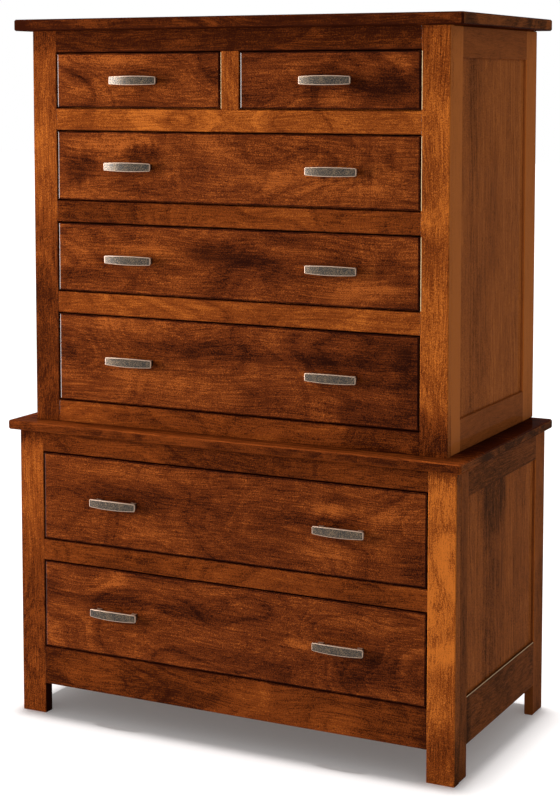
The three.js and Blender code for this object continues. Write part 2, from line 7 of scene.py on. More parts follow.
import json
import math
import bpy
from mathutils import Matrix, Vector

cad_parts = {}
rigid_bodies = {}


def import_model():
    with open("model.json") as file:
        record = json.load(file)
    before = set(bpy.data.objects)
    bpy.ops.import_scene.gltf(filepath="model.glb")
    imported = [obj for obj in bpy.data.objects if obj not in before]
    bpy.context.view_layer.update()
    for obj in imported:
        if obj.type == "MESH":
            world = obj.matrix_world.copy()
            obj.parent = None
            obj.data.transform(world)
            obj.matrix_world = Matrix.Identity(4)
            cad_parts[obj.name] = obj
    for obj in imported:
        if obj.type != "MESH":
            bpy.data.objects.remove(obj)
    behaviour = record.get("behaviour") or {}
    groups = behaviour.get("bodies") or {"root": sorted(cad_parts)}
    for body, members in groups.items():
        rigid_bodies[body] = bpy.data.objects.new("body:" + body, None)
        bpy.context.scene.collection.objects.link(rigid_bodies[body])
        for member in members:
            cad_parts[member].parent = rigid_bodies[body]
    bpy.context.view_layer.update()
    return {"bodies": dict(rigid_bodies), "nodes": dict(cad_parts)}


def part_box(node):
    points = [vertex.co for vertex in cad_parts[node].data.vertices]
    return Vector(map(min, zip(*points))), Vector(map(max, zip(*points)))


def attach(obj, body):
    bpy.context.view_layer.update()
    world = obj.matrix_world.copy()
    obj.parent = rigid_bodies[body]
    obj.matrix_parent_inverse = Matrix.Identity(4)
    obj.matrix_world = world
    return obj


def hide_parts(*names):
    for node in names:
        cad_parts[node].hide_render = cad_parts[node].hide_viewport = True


bl_info = {
    "name": "Chest on Chest",
    "version": (1, 0, 0),
    "blender": (4, 5, 0),
    "location": "View3D > Sidebar > Chest",
    "description": "Finishes, pulls and studio stage of a seven-drawer chest on chest",
    "category": "Object",
}

from itertools import product

import bpy
import numpy as np
from bpy.props import FloatProperty, FloatVectorProperty, IntProperty, PointerProperty
from bpy.types import Operator, Panel, PropertyGroup
from mathutils import Matrix, Vector

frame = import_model()

DRAWERS = [name for name in frame["bodies"] if name.endswith("_drawer")]

# Zones: a half size that reaches past the whole chest, and a step just under a surface
FAR = 9.0
HAIR = 0.0005

# Joints of the boards that the zones follow
PANEL_TONGUE = 0.00775
GROOVE_FLOOR = 0.006
DRAWER_SIDE = 0.0125
FRONT_BEVEL = 0.0018

# Where a board's middle lies from the tree's heart, in Y and Z once its grain is turned along X
FACE_FRONT = (0.055, 0.0)
FLAT_FACE = (0.0, 0.055)

# The first seed of each group of boards, how far apart seeds lie along the tree, and what a seed gains
# where the grain crosses
FIRST_SEEDS = {
    "frames": 1, "side frames": 20, "side panels": 24, "top boards": 31, "fronts": 41, "boxes": 51,
    "bottoms": 61, "guide": 70, "backs": 71,
}
SEED_STEP = 3.7
CROSSED_SEED = 0.43

# Growth rings: how the heart wanders, how it leans along the board, rings and lines a metre, and the
# share of a ring at which its line starts
WANDER_SCALE = (2.8, 6.0, 6.0)
WANDER_PUSH = (0.0, 0.065, 0.065)
HEART_LEAN = 0.045
RINGS_PER_METRE = 95.0
LINES_PER_METRE = 150.0
LINE_START = 0.55

# Figure: each noise's cells a metre along and across the grain, its detail, roughness and swirl
FIGURE_NOISES = {
    "cloud": ((4.0, 8.0, 8.0), 3.0, 0.5, 0.6),
    "mottle": ((18.0, 36.0, 36.0), 3.0, 0.5, 0.8),
    "fibre": ((10.0, 400.0, 400.0), 2.0, 0.65, 0.0),
    "speck": ((420.0, 600.0, 600.0), 2.0, 0.6, 0.0),
    "curl": ((85.0, 11.0, 11.0), 3.0, 0.6, 0.3),
    "curl place": ((4.0, 6.0, 6.0), 2.0, 0.6, 0.0),
}

# Between which values clouds and curls fade in, how much some noises count, and where the stains blend
CLOUD_EDGES = (-0.2, 0.2)
CURL_PLACE_EDGES = (-0.04, 0.14)
MOTTLE_SHARE = 0.28
FIBRE_SHARE = 0.7
SPECK_SHARE = 1.15
DARK_TO_MID = (0.06, 0.52)
MID_TO_LIGHT = (0.46, 0.94)

# How the wood takes the light: its roughness and the specks' share in it, the fibres' relief, and varnish
ROUGHNESS = 0.4
SPECK_ROUGHNESS = 0.25
GRAIN_BUMP = {"Strength": 0.1, "Distance": 0.0006}
VARNISH = {"Specular IOR Level": 0.0, "Coat Roughness": 0.07, "Coat IOR": 1.5}

# How far a glued-up board's grain may be shifted along the tree and away from its heart
STAVE_SHIFT = (7.0, 0.0, 0.05)

# Parts of a face's normal between which it comes to count as rounded, as facing left and as in a gap
FLAT_TO_ROUND = (0.99, 0.95)
AHEAD_TO_LEFT = (-0.15, -0.3)
FRONT_TO_GAP = (0.5, 0.1)

# Shares of its half size at which a patch has faded out, and within which it counts in full
PATCH_FADE_SHARES = (1.15, 0.45)

# How edges are rounded: how near points merge, what counts as flat and what as sharp
WELD_REACH = 0.00001
FLAT_ANGLE = math.radians(1)
SHARP_ANGLE = math.radians(15)

# The two axes of the face that a board's patches lie on
FACE_AXES = {"front": (0, 2), "side": (1, 2), "top": (0, 1)}

# How the rims of the patches are drawn out along a level grain or upright: scale, push and detail
RAGGED = {
    "level": ((10.0, 10.0, 50.0), (0.08, 0.0, 0.02), 3.0),
    "upright": ((55.0, 55.0, 12.0), (0.018, 0.018, 0.06), 3.0),
}

# Wear and relief of the castings. The bright rims are partly wear and partly painted highlight: painted shade
# dims them underneath, and the posts' tops are painted bright as if they caught the light
WEAR_WIDTH = 0.00022
LOW_SHADE_LOSS = 0.5
END_WEAR_SHARE = 0.6
POST_TOP_HIGHLIGHT = 0.9
SMOOTHED_SHARE = 0.7
FINE_PIT_SHARE = 1 / 2.3
FINE_DEPTH_SHARE = 0.5
SEEDS_PER_PULL = 3

# A number for each lattice cell: the weights of X, Y, Z and the seed in a sine, and its stretch
CELL_WEIGHTS = (12.9898, 78.233, 37.719)
SEED_WEIGHT = 4.1
SINE_STRETCH = 43758.5453

# Finish of the metals: the fine relief for the light, and noises in the same terms as the figure's
CAST_BUMP = {"Strength": 0.15, "Distance": 0.0002}
SPECKLE_NOISE = ((620.0, 620.0, 620.0), 2.0, 0.6)
TARNISH_NOISE = ((60.0, 60.0, 60.0), 2.0, 0.6)
TURNING_NOISE = ((900.0, 900.0, 900.0), 3.0, 0.6)

# Steps along the bar, round its ends, along a post and round a screw and its head
BAR_STEPS = 120
END_STEPS = 13
POST_STEPS = 14
SCREW_STEPS = 48
HEAD_STEPS = 16

# Steps along each flat and round each corner of the rings round the bar and round a post
BAR_RING_STEPS = (18, 5)
POST_RING_STEPS = (6, 5)

# Posts and screws; the two powers shape the dome of a screw's head, along its axis and across
JOINT_GAP = 0.00025
POST_TIP = 0.012
POST_FOOT_WIDTH = 0.015
POST_FOOT_HEIGHT = 0.014
SCREW_SHANK = 0.002
SCREW_HEAD = 0.0025
HEAD_RISE_POWER = 0.6
HEAD_WIDTH_POWER = 0.8
SCREW_REACH = 0.011
SLOT_WIDTH = 0.0005
SLOT_DEPTH = 0.0013
SLOT_LENGTH_SHARE = 0.6

# Stage
FLOOR_LIFT = 0.13
LIFT_TINT = (1.0, 0.92, 0.9, 1.0)
LAMP_AIM = (0, -0.2, 0.95)
LEFT_LAMP = {"place": (-3.72, -3.07, 2.1), "size": (1.0, 2.2), "tint": (1, 1, 1)}
SIDE_LAMP = {"place": (-4.2, -1.7, 0.87), "size": (1.9, 1.7), "tint": (1.0, 0.93, 0.9)}
TOP_LIGHT_DIRECTION = (-0.018, 0.012, 1.0)
TOP_LIGHT_SPREAD = math.radians(5.5)


def stain(red, green, blue):
    """A colour written as it looks on a screen, 0 to 255, turned into linear light."""
    level = np.array([red, green, blue]) / 255
    linear = np.where(level > 0.04045, ((level + 0.055) / 1.055) ** 2.4, level / 12.92)
    return tuple(float(value) for value in linear)


def colour(name, description, default):
    """A colour property."""
    return FloatVectorProperty(
        name=name, description=description, default=default, size=3, min=0, max=1, subtype="COLOR"
    )


def number(name, description, default, **more):
    """A number property."""
    return FloatProperty(name=name, description=description, default=default, **more)


def length(name, description, default):
    """A length property in metres."""
    return number(name, description, default, min=0, unit="LENGTH")


def share(name, description, default):
    """A plain number between minus one and one."""
    return number(name, description, default, min=-1, max=1, subtype="FACTOR")


# Sizes and colours that a user would change


class WoodSettings(PropertyGroup):
    """Stains, bare wood and the easing of the boards' edges."""

    # Painted shade: the stain is darkened on the walls of the gaps round the drawers, where shade falls
    gap_shade_tone: share("Gap tone", "How much darker the stain is in the gaps round the drawers", -0.8)
    face_gloss: share("Face gloss", "Strength of the varnish on flat faces", 0.02)
    edge_gloss: share("Edge gloss", "Strength of the varnish on rounded edges that face left", 0.2)
    edge_radius: length("Edge radius", "How far the boards' edges are rounded", 0.0011)
    edge_steps: IntProperty(name="Edge steps", description="Facets in a rounded edge", default=2, min=1)
    stave_width: length("Stave width", "Width of the boards glued up into a panel", 0.088)


# Where each finish is, and its dark, mid and light stain
FINISHES = {
    "amber": ("on the face frames", (52, 18, 6), (128, 60, 21), (206, 114, 42)),
    "russet": ("on the drawer fronts", (42, 14, 6), (106, 47, 18), (182, 96, 38)),
    "umber": ("on the sides and top boards", (66, 36, 17), (150, 82, 38), (190, 110, 52)),
    "bare": ("inside, where the maple is bare", (176, 134, 88), (216, 180, 132), (236, 208, 166)),
}
LEVELS = ("dark", "mid", "light")
for finish, (where, *levels) in FINISHES.items():
    for level, default in zip(LEVELS, levels):
        WoodSettings.__annotations__[f"{finish}_{level}"] = colour(
            f"{finish.capitalize()} {level}", f"The {level} stain {where}", stain(*default)
        )


class PullSettings(PropertyGroup):
    """The bowed bar pulls and the screws that hold them."""

    bar_length: length("Length", "Length of the bar", 0.126)
    post_spacing: length("Post spacing", "Distance between the two posts", 0.096)
    end_height: length("End height", "Height of the bar at its ends", 0.018)
    middle_height: length("Middle height", "Height of the bar at its middle", 0.0217)
    end_projection: length("End projection", "How far the ends stand out from the drawer", 0.022)
    projection: length("Projection", "How far the middle stands out from the drawer", 0.028)
    thickness: length("Thickness", "Thickness of the bar", 0.005)
    corner: length("Corner", "Rounding along the bar's edges", 0.0013)
    end_corner: length("End corner", "Rounding of the bar's four corners and of its end faces", 0.003)
    pitting: length("Pitting", "Depth of the cast relief", 0.00005)
    pit_size: length("Pit size", "Width of one dimple of the relief", 0.0024)
    screw_radius: length("Screw radius", "Radius of a screw's head", 0.0045)
    pewter_dark: colour("Pewter dark", "Hollows of the casting", stain(15, 9, 4))
    pewter_light: colour("Pewter light", "Face of the casting", stain(106, 85, 60))
    # The bright colour of the rims and the posts' tops: partly wear, partly painted highlight
    pewter_rubbed_and_lit: colour("Pewter rubbed", "Edges rubbed bright", stain(176, 148, 126))
    screw_colour: colour("Screw", "Zinc of the screws", stain(176, 178, 182))


class StageSettings(PropertyGroup):
    """Camera, lamps and floor."""

    camera_place: FloatVectorProperty(
        name="Camera place", description="Where the camera stands", size=3, unit="LENGTH",
        default=(1.9788, -3.9053, 1.5235),
    )
    camera_turn: number(
        "Camera turn", "Turn to the left from straight ahead", math.radians(26.883), subtype="ANGLE"
    )
    camera_tilt: number("Camera tilt", "Tilt below the horizon", math.radians(4.836), subtype="ANGLE")
    lens: number("Lens", "Focal length", 82.56, unit="CAMERA")
    lens_rise: number("Lens rise", "Upward shift of the picture", -0.2)
    floor_size: length("Floor size", "Width of the floor", 60.0)
    floor_colour: colour("Floor", "Pale floor", stain(246, 244, 243))
    bounce_colour: colour("Floor bounce", "Floor as its bounced light shows it", stain(168, 166, 164))
    fill: number("Fill", "Light from all round", 0.39, min=0)
    key: number("Key", "Power of the lamp at the left", 130.0, min=0)
    side: number("Side", "Power of the broad lamp further round", 165.0, min=0)
    top: number("Top", "Strength of the light from above", 2.9, min=0)


def settings():
    """The chest's settings in the open scene."""
    return bpy.context.scene.chest


# Node building


def give(tree, node, key, value):
    """Links a socket into a node's input, or sets the input to a plain value."""
    if isinstance(value, bpy.types.NodeSocket):
        tree.links.new(value, node.inputs[key])
    else:
        node.inputs[key].default_value = value


def add(tree, kind, inputs=None, **values):
    """A shader node of the given kind; inputs are sockets to link or plain values, and values are the
    node's settings."""
    node = tree.nodes.new(f"ShaderNode{kind}")
    for key, value in values.items():
        setattr(node, key, value)
    for key, value in (inputs or {}).items():
        give(tree, node, key, value)
    return node


def maths(tree, operation, *terms):
    """The output of a Math node on the given terms."""
    return add(tree, "Math", dict(enumerate(terms)), operation=operation).outputs[0]


def weighed(tree, value, weight, base):
    """A value times its weight, added to a base."""
    return maths(tree, "MULTIPLY_ADD", value, weight, base)


def vector_maths(tree, operation, *terms):
    """The output of a Vector Math node on the given terms."""
    return add(tree, "VectorMath", dict(enumerate(terms)), operation=operation).outputs[0]


def mixed(tree, factor, first, second):
    """Two colours mixed by a factor."""
    return add(tree, "Mix", {0: factor, 6: first, 7: second}, data_type="RGBA").outputs[2]


def stepped(tree, value, low, high):
    """A smooth step of a value from nought at the low end to one at the high end."""
    inputs = {"Value": value, "From Min": low, "From Max": high}
    return add(tree, "MapRange", inputs, interpolation_type="SMOOTHSTEP").outputs[0]


def noise(tree, vector, scale, detail, roughness, swirl=0.0):
    """Noise about nought, on a vector stretched by a scale for each axis."""
    inputs = {
        "Vector": vector_maths(tree, "MULTIPLY", vector, scale),
        "Scale": 1.0, "Detail": detail, "Roughness": roughness, "Distortion": swirl,
    }
    return maths(tree, "SUBTRACT", add(tree, "TexNoise", inputs).outputs["Fac"], 0.5)


def wandering(tree, vector, scale, push, detail=1.0):
    """A vector moved by smooth noise of its own."""
    inputs = {"Vector": vector_maths(tree, "MULTIPLY", vector, scale), "Scale": 1.0, "Detail": detail}
    wander = add(tree, "TexNoise", inputs).outputs["Color"]
    moved = vector_maths(tree, "MULTIPLY", vector_maths(tree, "SUBTRACT", wander, (0.5, 0.5, 0.5)), push)
    return vector_maths(tree, "ADD", vector, moved)


def split(tree, vector):
    """The X, Y and Z of a vector."""
    return add(tree, "SeparateXYZ", {0: vector}).outputs


def growth_rings(tree, vector):
    """Soft rings and thin late-wood lines, from the distance to a heart that leans along the board.

    The lines are the broken part of the distance in rings, stepped so that each darkens slowly and
    ends sharply.
    """
    parts = split(tree, vector)
    across = weighed(tree, parts[0], HEART_LEAN, parts[1])
    radius = maths(tree, "SQRT", weighed(tree, across, across, maths(tree, "POWER", parts[2], 2.0)))
    place = maths(tree, "MULTIPLY", radius, RINGS_PER_METRE)
    inputs = {"W": place, "Scale": 1.0, "Detail": 3.0, "Roughness": 0.62}
    rings = add(tree, "TexNoise", inputs, noise_dimensions="1D").outputs["Fac"]
    turn = maths(tree, "FRACT", maths(tree, "MULTIPLY", radius, LINES_PER_METRE))
    return maths(tree, "SUBTRACT", rings, 0.5), stepped(tree, turn, LINE_START, 1.0)


def maple(tree, given):
    """Stained maple, on a vector that runs along the grain in X, in metres from the tree's heart.

    The grain first wanders a little. Then growth rings, clouds of stain, mottle, curl across the
    grain, fibres and pores are added up, and the sum picks a colour between dark, mid and light.
    """
    vector = wandering(tree, given["Vector"], WANDER_SCALE, WANDER_PUSH)
    ring, line = growth_rings(tree, vector)
    cloud, mottle, fibre, speck, wave, where = (noise(tree, vector, *kind) for kind in FIGURE_NOISES.values())
    cloud = stepped(tree, cloud, *CLOUD_EDGES)
    wave = maths(tree, "MULTIPLY", wave, stepped(tree, where, *CURL_PLACE_EDGES))
    fine = weighed(tree, fibre, FIBRE_SHARE, maths(tree, "MULTIPLY", speck, SPECK_SHARE))
    total = 0.5
    for value, weight in (
        (ring, given["Figure"]), (maths(tree, "SUBTRACT", cloud, 0.5), given["Blotch"]),
        (wave, given["Curl"]), (mottle, MOTTLE_SHARE),
    ):
        total = weighed(tree, value, weight, total)
    total = maths(tree, "SUBTRACT", total, maths(tree, "MULTIPLY", line, given["Lines"]))
    total = weighed(tree, fine, given["Fleck"], total)
    total = maths(tree, "ADD", total, given["Tone"])

    shade = mixed(tree, stepped(tree, total, *DARK_TO_MID), given["Dark"], given["Mid"])
    shade = mixed(tree, stepped(tree, total, *MID_TO_LIGHT), shade, given["Light"])
    return {"Color": shade, "Roughness": weighed(tree, speck, SPECK_ROUGHNESS, ROUGHNESS), "Height": fine}


def zone(tree, given):
    """One inside a box and nought outside it: the least of half size minus distance from the centre
    on the three axes, tested against nought."""
    offset = vector_maths(tree, "SUBTRACT", given["Vector"], given["Centre"])
    inside = vector_maths(tree, "SUBTRACT", given["Half Size"], vector_maths(tree, "ABSOLUTE", offset))
    parts = split(tree, inside)
    least = maths(tree, "MINIMUM", maths(tree, "MINIMUM", parts[0], parts[1]), parts[2])
    return {"Mask": maths(tree, "GREATER_THAN", least, 0.0)}


def patch(tree, given):
    """A soft patch of darker or lighter wood: the length of the offset from the centre over the half
    size, stepped down smoothly from the middle to the rim."""
    offset = vector_maths(tree, "SUBTRACT", given["Vector"], given["Centre"])
    scaled = vector_maths(tree, "DIVIDE", offset, given["Half Size"])
    reach = add(tree, "VectorMath", {0: scaled}, operation="LENGTH").outputs["Value"]
    mask = stepped(tree, reach, *PATCH_FADE_SHARES)
    return {"Tone": weighed(tree, mask, given["Strength"], given["Tone"])}


def edges(tree, given):
    """One on bevels and rounded edges and nought on flat faces: a flat face's normal has one part
    that is nearly one. Left is the same mask where the normal also leans to the left."""
    parts = split(tree, vector_maths(tree, "ABSOLUTE", given["Normal"]))
    most = maths(tree, "MAXIMUM", maths(tree, "MAXIMUM", parts[0], parts[1]), parts[2])
    mask = stepped(tree, most, *FLAT_TO_ROUND)
    left = stepped(tree, split(tree, given["Normal"])[0], *AHEAD_TO_LEFT)
    return {"Mask": mask, "Left": maths(tree, "MULTIPLY", mask, left)}


def gaps(tree, given):
    """One on faces that turn away from the front and lie in a zone: the walls of the narrow gaps round the
    drawers, where the stain is darkened as painted shade."""
    ahead = split(tree, vector_maths(tree, "ABSOLUTE", given["Normal"]))[1]
    return {"Mask": maths(tree, "MULTIPLY", stepped(tree, ahead, *FRONT_TO_GAP), given["Zone"])}


def staves(tree, given):
    """Boards glued side by side across the grain: the stave's number is the floor of Y over its
    width, and picks a shift along the grain and a tone from white noise."""
    stave = maths(tree, "FLOOR", maths(tree, "DIVIDE", split(tree, given["Vector"])[1], given["Width"]))
    pick = add(tree, "TexWhiteNoise", {"W": stave}, noise_dimensions="1D").outputs
    shift = vector_maths(tree, "MULTIPLY", pick["Color"], STAVE_SHIFT)
    tone = maths(tree, "MULTIPLY", maths(tree, "SUBTRACT", pick["Value"], 0.5), given["Spread"])
    return {"Vector": vector_maths(tree, "ADD", given["Vector"], shift), "Tone": tone}


# Sockets of the shared node groups that aren't plain numbers
SOCKET_KINDS = {
    **dict.fromkeys(("Vector", "Normal", "Centre", "Half Size"), "NodeSocketVector"),
    **dict.fromkeys(("Color", "Dark", "Mid", "Light"), "NodeSocketColor"),
}


def add_sockets(tree, sockets, way):
    """Gives a node group its input or its output sockets."""
    for socket in sockets:
        kind = SOCKET_KINDS.get(socket, "NodeSocketFloat")
        tree.interface.new_socket(socket, in_out=way, socket_type=kind)


def new_group(maker, inputs):
    """A node group with an input for each name and an output for each value that its maker returns."""
    tree = bpy.data.node_groups.new(maker.__name__, "ShaderNodeTree")
    add_sockets(tree, inputs, "INPUT")
    made = maker(tree, tree.nodes.new("NodeGroupInput").outputs)
    add_sockets(tree, made, "OUTPUT")
    out = tree.nodes.new("NodeGroupOutput")
    for socket, value in made.items():
        give(tree, out, socket, value)
    return tree


def group_node(tree, maker, inputs):
    """A shared node group placed in a tree, made the first time that it is asked for."""
    shared = bpy.data.node_groups.get(maker.__name__) or new_group(maker, inputs)
    return add(tree, "Group", inputs, node_tree=shared).outputs


def new_material(name):
    """An empty node material, its tree and its Object coordinates."""
    material = bpy.data.materials.new(name)
    material.use_nodes = True
    tree = material.node_tree
    tree.nodes.clear()
    return material, tree, tree.nodes.new("ShaderNodeTexCoord").outputs["Object"]


def end_in(tree, kind, inputs):
    """Ends a material's tree in one shader of the given kind."""
    shader = add(tree, kind, inputs)
    add(tree, "OutputMaterial", {"Surface": shader.outputs[0]})


def placed(name, data):
    """A new object in the open scene."""
    thing = bpy.data.objects.new(name, data)
    bpy.context.scene.collection.objects.link(thing)
    return thing


# Wood


def stains(name):
    """Dark, mid and light of one finish from the settings, as node colours."""
    wood = settings().wood
    return [(*getattr(wood, f"{name}_{level}"), 1.0) for level in LEVELS]


TURNS = {
    "x": Matrix.Identity(3),
    "y": Matrix.Rotation(math.radians(-90), 3, "Z"),
    "z": Matrix.Rotation(math.radians(90), 3, "Y"),
}


def along_grain(tree, position, axis, centre, heart, seed):
    """The object's own coordinates turned so that the grain runs along X and the board's centre lies
    at the given distance from the tree's heart."""
    turn = TURNS[axis]
    place = Vector((seed * SEED_STEP, heart[0], heart[1])) - turn @ centre
    inputs = {"Vector": position, "Location": place, "Rotation": turn.to_euler()}
    return add(tree, "Mapping", inputs).outputs[0]


def zone_mask(tree, position, place):
    """One inside a zone, given as its centre and half size."""
    return group_node(tree, zone, {"Vector": position, "Centre": place[0], "Half Size": place[1]})["Mask"]


def patched(tree, position, board, tone):
    """The board's tone with its patches added. A patch is its place on the board's face and its half
    sizes, all in hundredths of the board's half size, and how many hundredths it lightens."""
    ragged = wandering(tree, position, *RAGGED[board["ragged"]])
    half = board["half"]
    for *places, strength in board["patches"]:
        centre, reach = board["centre"].copy(), Vector((FAR, FAR, FAR))
        for axis, place, size in zip(FACE_AXES[board["facing"]], places[:2], places[2:]):
            centre[axis] += place / 100 * half[axis]
            reach[axis] = size / 100 * half[axis]
        inputs = {"Vector": ragged, "Centre": centre, "Half Size": reach, "Tone": tone}
        tone = group_node(tree, patch, {**inputs, "Strength": strength / 100})["Tone"]
    return tone


def wood_material(name, board):
    """The finish of one board: grain along its axis, a second grain where rails cross it, patches of other
    tone, painted shade in the gaps, rounded edges that are glossy and lightened as painted highlight or
    darkened as painted shade, and other finishes in their zones."""
    wood = settings().wood
    material, tree, position = new_material(name)
    normal = tree.nodes.new("ShaderNodeNewGeometry").outputs["True Normal"]
    heart = board["heart"]
    grain = along_grain(tree, position, board["grain"], board["centre"], heart, board["seed"])
    tone = board["tone"]
    for axis, place, change in board["crossings"]:
        crossed = along_grain(tree, position, axis, Vector(place[0]), heart, board["seed"] + CROSSED_SEED)
        mask = zone_mask(tree, position, place)
        mix = add(tree, "Mix", {0: mask, 4: grain, 5: crossed}, data_type="VECTOR")
        grain = mix.outputs[1]
        tone = weighed(tree, mask, change, tone)
    if board["stave_spread"]:
        inputs = {"Vector": grain, "Width": wood.stave_width, "Spread": board["stave_spread"]}
        glued = group_node(tree, staves, inputs)
        grain = glued["Vector"]
        tone = maths(tree, "ADD", glued["Tone"], tone)
    if board["patches"]:
        tone = patched(tree, position, board, tone)
    # Painted shade on the walls of the gaps round the drawers
    if board["gaps"]:
        inputs = {"Normal": normal, "Zone": zone_mask(tree, position, board["gaps"])}
        tone = weighed(tree, group_node(tree, gaps, inputs)["Mask"], wood.gap_shade_tone, tone)
    gloss = wood.face_gloss
    # The rounded edges' tone is painted highlight where it lightens and painted shade where it darkens
    if board["edge"]:
        edge_shading = group_node(tree, edges, {"Normal": normal})
        tone = weighed(tree, edge_shading["Mask"], board["edge"], tone)
        change = (board["edge_gloss"] or wood.edge_gloss) - wood.face_gloss
        gloss = weighed(tree, edge_shading["Left"], change, wood.face_gloss)
    colours = stains(board["finish"])
    for finish, place in board["others"]:
        mask = zone_mask(tree, position, place)
        colours = [mixed(tree, mask, first, second) for first, second in zip(colours, stains(finish))]
    inputs = {"Vector": grain, "Tone": tone, "Dark": colours[0], "Mid": colours[1], "Light": colours[2]}
    inputs.update({key: board[key.lower()] for key in ("Figure", "Blotch", "Curl", "Lines", "Fleck")})
    stained = group_node(tree, maple, inputs)
    bump = add(tree, "Bump", {"Height": stained["Height"], **GRAIN_BUMP})
    inputs = {
        "Base Color": stained["Color"], "Roughness": stained["Roughness"], "Normal": bump.outputs[0],
        "Coat Weight": gloss, **VARNISH,
    }
    end_in(tree, "BsdfPrincipled", inputs)
    return material


def round_edges(thing):
    """Merges a board's loose triangles into flat faces and rounds the edges where they meet."""
    wood = settings().wood
    weld = thing.modifiers.new("weld", "WELD")
    weld.merge_threshold = WELD_REACH
    flat = thing.modifiers.new("flat faces", "DECIMATE")
    flat.decimate_type = "DISSOLVE"
    flat.angle_limit = FLAT_ANGLE
    bevel = thing.modifiers.new("rounded edges", "BEVEL")
    bevel.width = wood.edge_radius
    bevel.segments = wood.edge_steps
    bevel.limit_method = "ANGLE"
    bevel.angle_limit = SHARP_ANGLE


# edge: tone of the rounded edges, painted highlight above nought and painted shade below it
PLAIN_BOARD = {
    "tone": 0.0, "figure": 0.55, "blotch": 0.22, "curl": 0.2, "lines": 0.09, "fleck": 1.0,
    "stave_spread": 0.0, "crossings": (), "patches": (), "facing": "front", "others": (), "gaps": None,
    "edge": 0.1, "edge_gloss": None, "ragged": "level",
}


def dress(node, finish, grain, heart, seed, **changes):
    """Gives one packed board its own material and rounded edges."""
    low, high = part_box(node)
    board = {
        **PLAIN_BOARD, "finish": finish, "grain": grain, "centre": (low + high) / 2, "half": (high - low) / 2,
        "heart": heart, "seed": seed, **changes,
    }
    thing = frame["nodes"][node]
    thing.data.materials.clear()
    thing.data.materials.append(wood_material(f"{node}_maple", board))
    if board["edge"]:
        round_edges(thing)


def behind(y, x=FAR):
    """A zone that holds everything behind a depth, and nearer the middle than a distance to the side."""
    return (0.0, y + FAR, 0.0), (x, FAR, FAR)


def before(y):
    """A zone that holds everything in front of a depth."""
    return (0.0, y - FAR, 0.0), (FAR, FAR, FAR)


def within_sides(x):
    """A zone that holds everything nearer the middle than a distance to the side."""
    return (0.0, 0.0, 0.0), (x, FAR, FAR)


def beside(drawer, x, y):
    """A thin upright zone along one edge of a drawer front, round a place across and in depth, where a
    painted highlight goes.
    """
    low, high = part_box(f"{drawer}_front")
    return (x, y, (low.z + high.z) / 2), (EDGE_HIGHLIGHT_WIDTH, EDGE_HIGHLIGHT_WIDTH, (high.z - low.z) / 2)


# Tone of each board of the face frames; the two top rails are darker as painted shadow under the top boards
FRAME_TONES = {
    "lower_stile_left": -0.07,
    "lower_stile_right": 0.19,
    "upper_stile_left": -0.06,
    "upper_stile_right": 0.09,
    "upper_muntin": 0.06,
    "lower_apron_frame": -0.22,
    "lower_middle_rail_frame": -0.14,
    "lower_top_rail_frame": -0.21,
    "upper_bottom_rail_frame": -0.13,
    "upper_third_rail_frame": 0.01,
    "upper_second_rail_frame": -0.11,
    "upper_first_rail_frame": 0.08,
    "upper_top_rail_frame": -0.3,
}
FRAME_FIGURE = 0.5
STILE_FLECK = 1.15

# Tone of the boards' rounded edges: lighter as painted highlight on the right stiles, darker as painted shade
# beside the gaps
STILE_EDGE_SHADING = {
    "lower_stile_left": -0.08,
    "upper_stile_left": -0.08,
    "lower_stile_right": 0.12,
    "upper_stile_right": 0.12,
    "upper_muntin": -0.1,
}
RAIL_EDGE_SHADE = -0.2

# Tone of the stiles' outer sides, which run on into the side frames
STILE_SIDE_TONES = {"lower": -0.12, "upper": 0.36}

# Drawers beside which an upright's left edge carries a painted highlight in the pale bare-wood colour, and
# how far it reaches
PAINTED_EDGE_HIGHLIGHTS = {
    "upper_muntin": ("top_left_drawer",),
    "upper_stile_right": ("top_right_drawer", "second_drawer", "third_drawer"),
}
EDGE_HIGHLIGHT_WIDTH = 0.0022

# Patches on the face frames, in hundredths. The dark bands at the tops of the stiles are painted shadow under
# the top boards, and the stiles also darken towards their feet
FRAME_PATCH_SHARES = {
    "upper_stile_left": ((0, 30, 300, 30, 14), (0, -60, 300, 55, -18), (0, 100, 300, 15, -14)),
    "upper_stile_right": (
        (0, 88, 300, 26, -14), (50, 50, 90, 14, 7), (-40, 56, 70, 6, -12), (10, -40, 120, 25, 10),
        (0, -100, 300, 24, -34),
    ),
    "lower_stile_left": (
        (0, 100, 300, 10, -24), (0, 60, 300, 35, 12), (0, -40, 300, 50, -12), (0, -95, 300, 15, -10),
    ),
    "lower_stile_right": (
        (0, 98, 300, 12, -12), (0, 20, 300, 50, 13), (0, -95, 300, 35, -22), (-20, 12, 50, 4, -20),
    ),
    "upper_second_rail_frame": ((-85, 0, 40, 900, -16), (40, 0, 50, 900, 4)),
    "upper_first_rail_frame": ((-95, 0, 10, 900, 6), (-60, 0, 20, 900, -5), (25, 0, 15, 900, -5)),
    "upper_bottom_rail_frame": ((-75, 0, 25, 900, 14), (-30, 0, 25, 900, -4), (80, 0, 30, 900, -12)),
    "lower_apron_frame": (
        (-90, 0, 12, 900, -8), (-35, 0, 20, 900, -5), (35, 0, 35, 900, 17), (95, 0, 10, 900, -14),
    ),
}


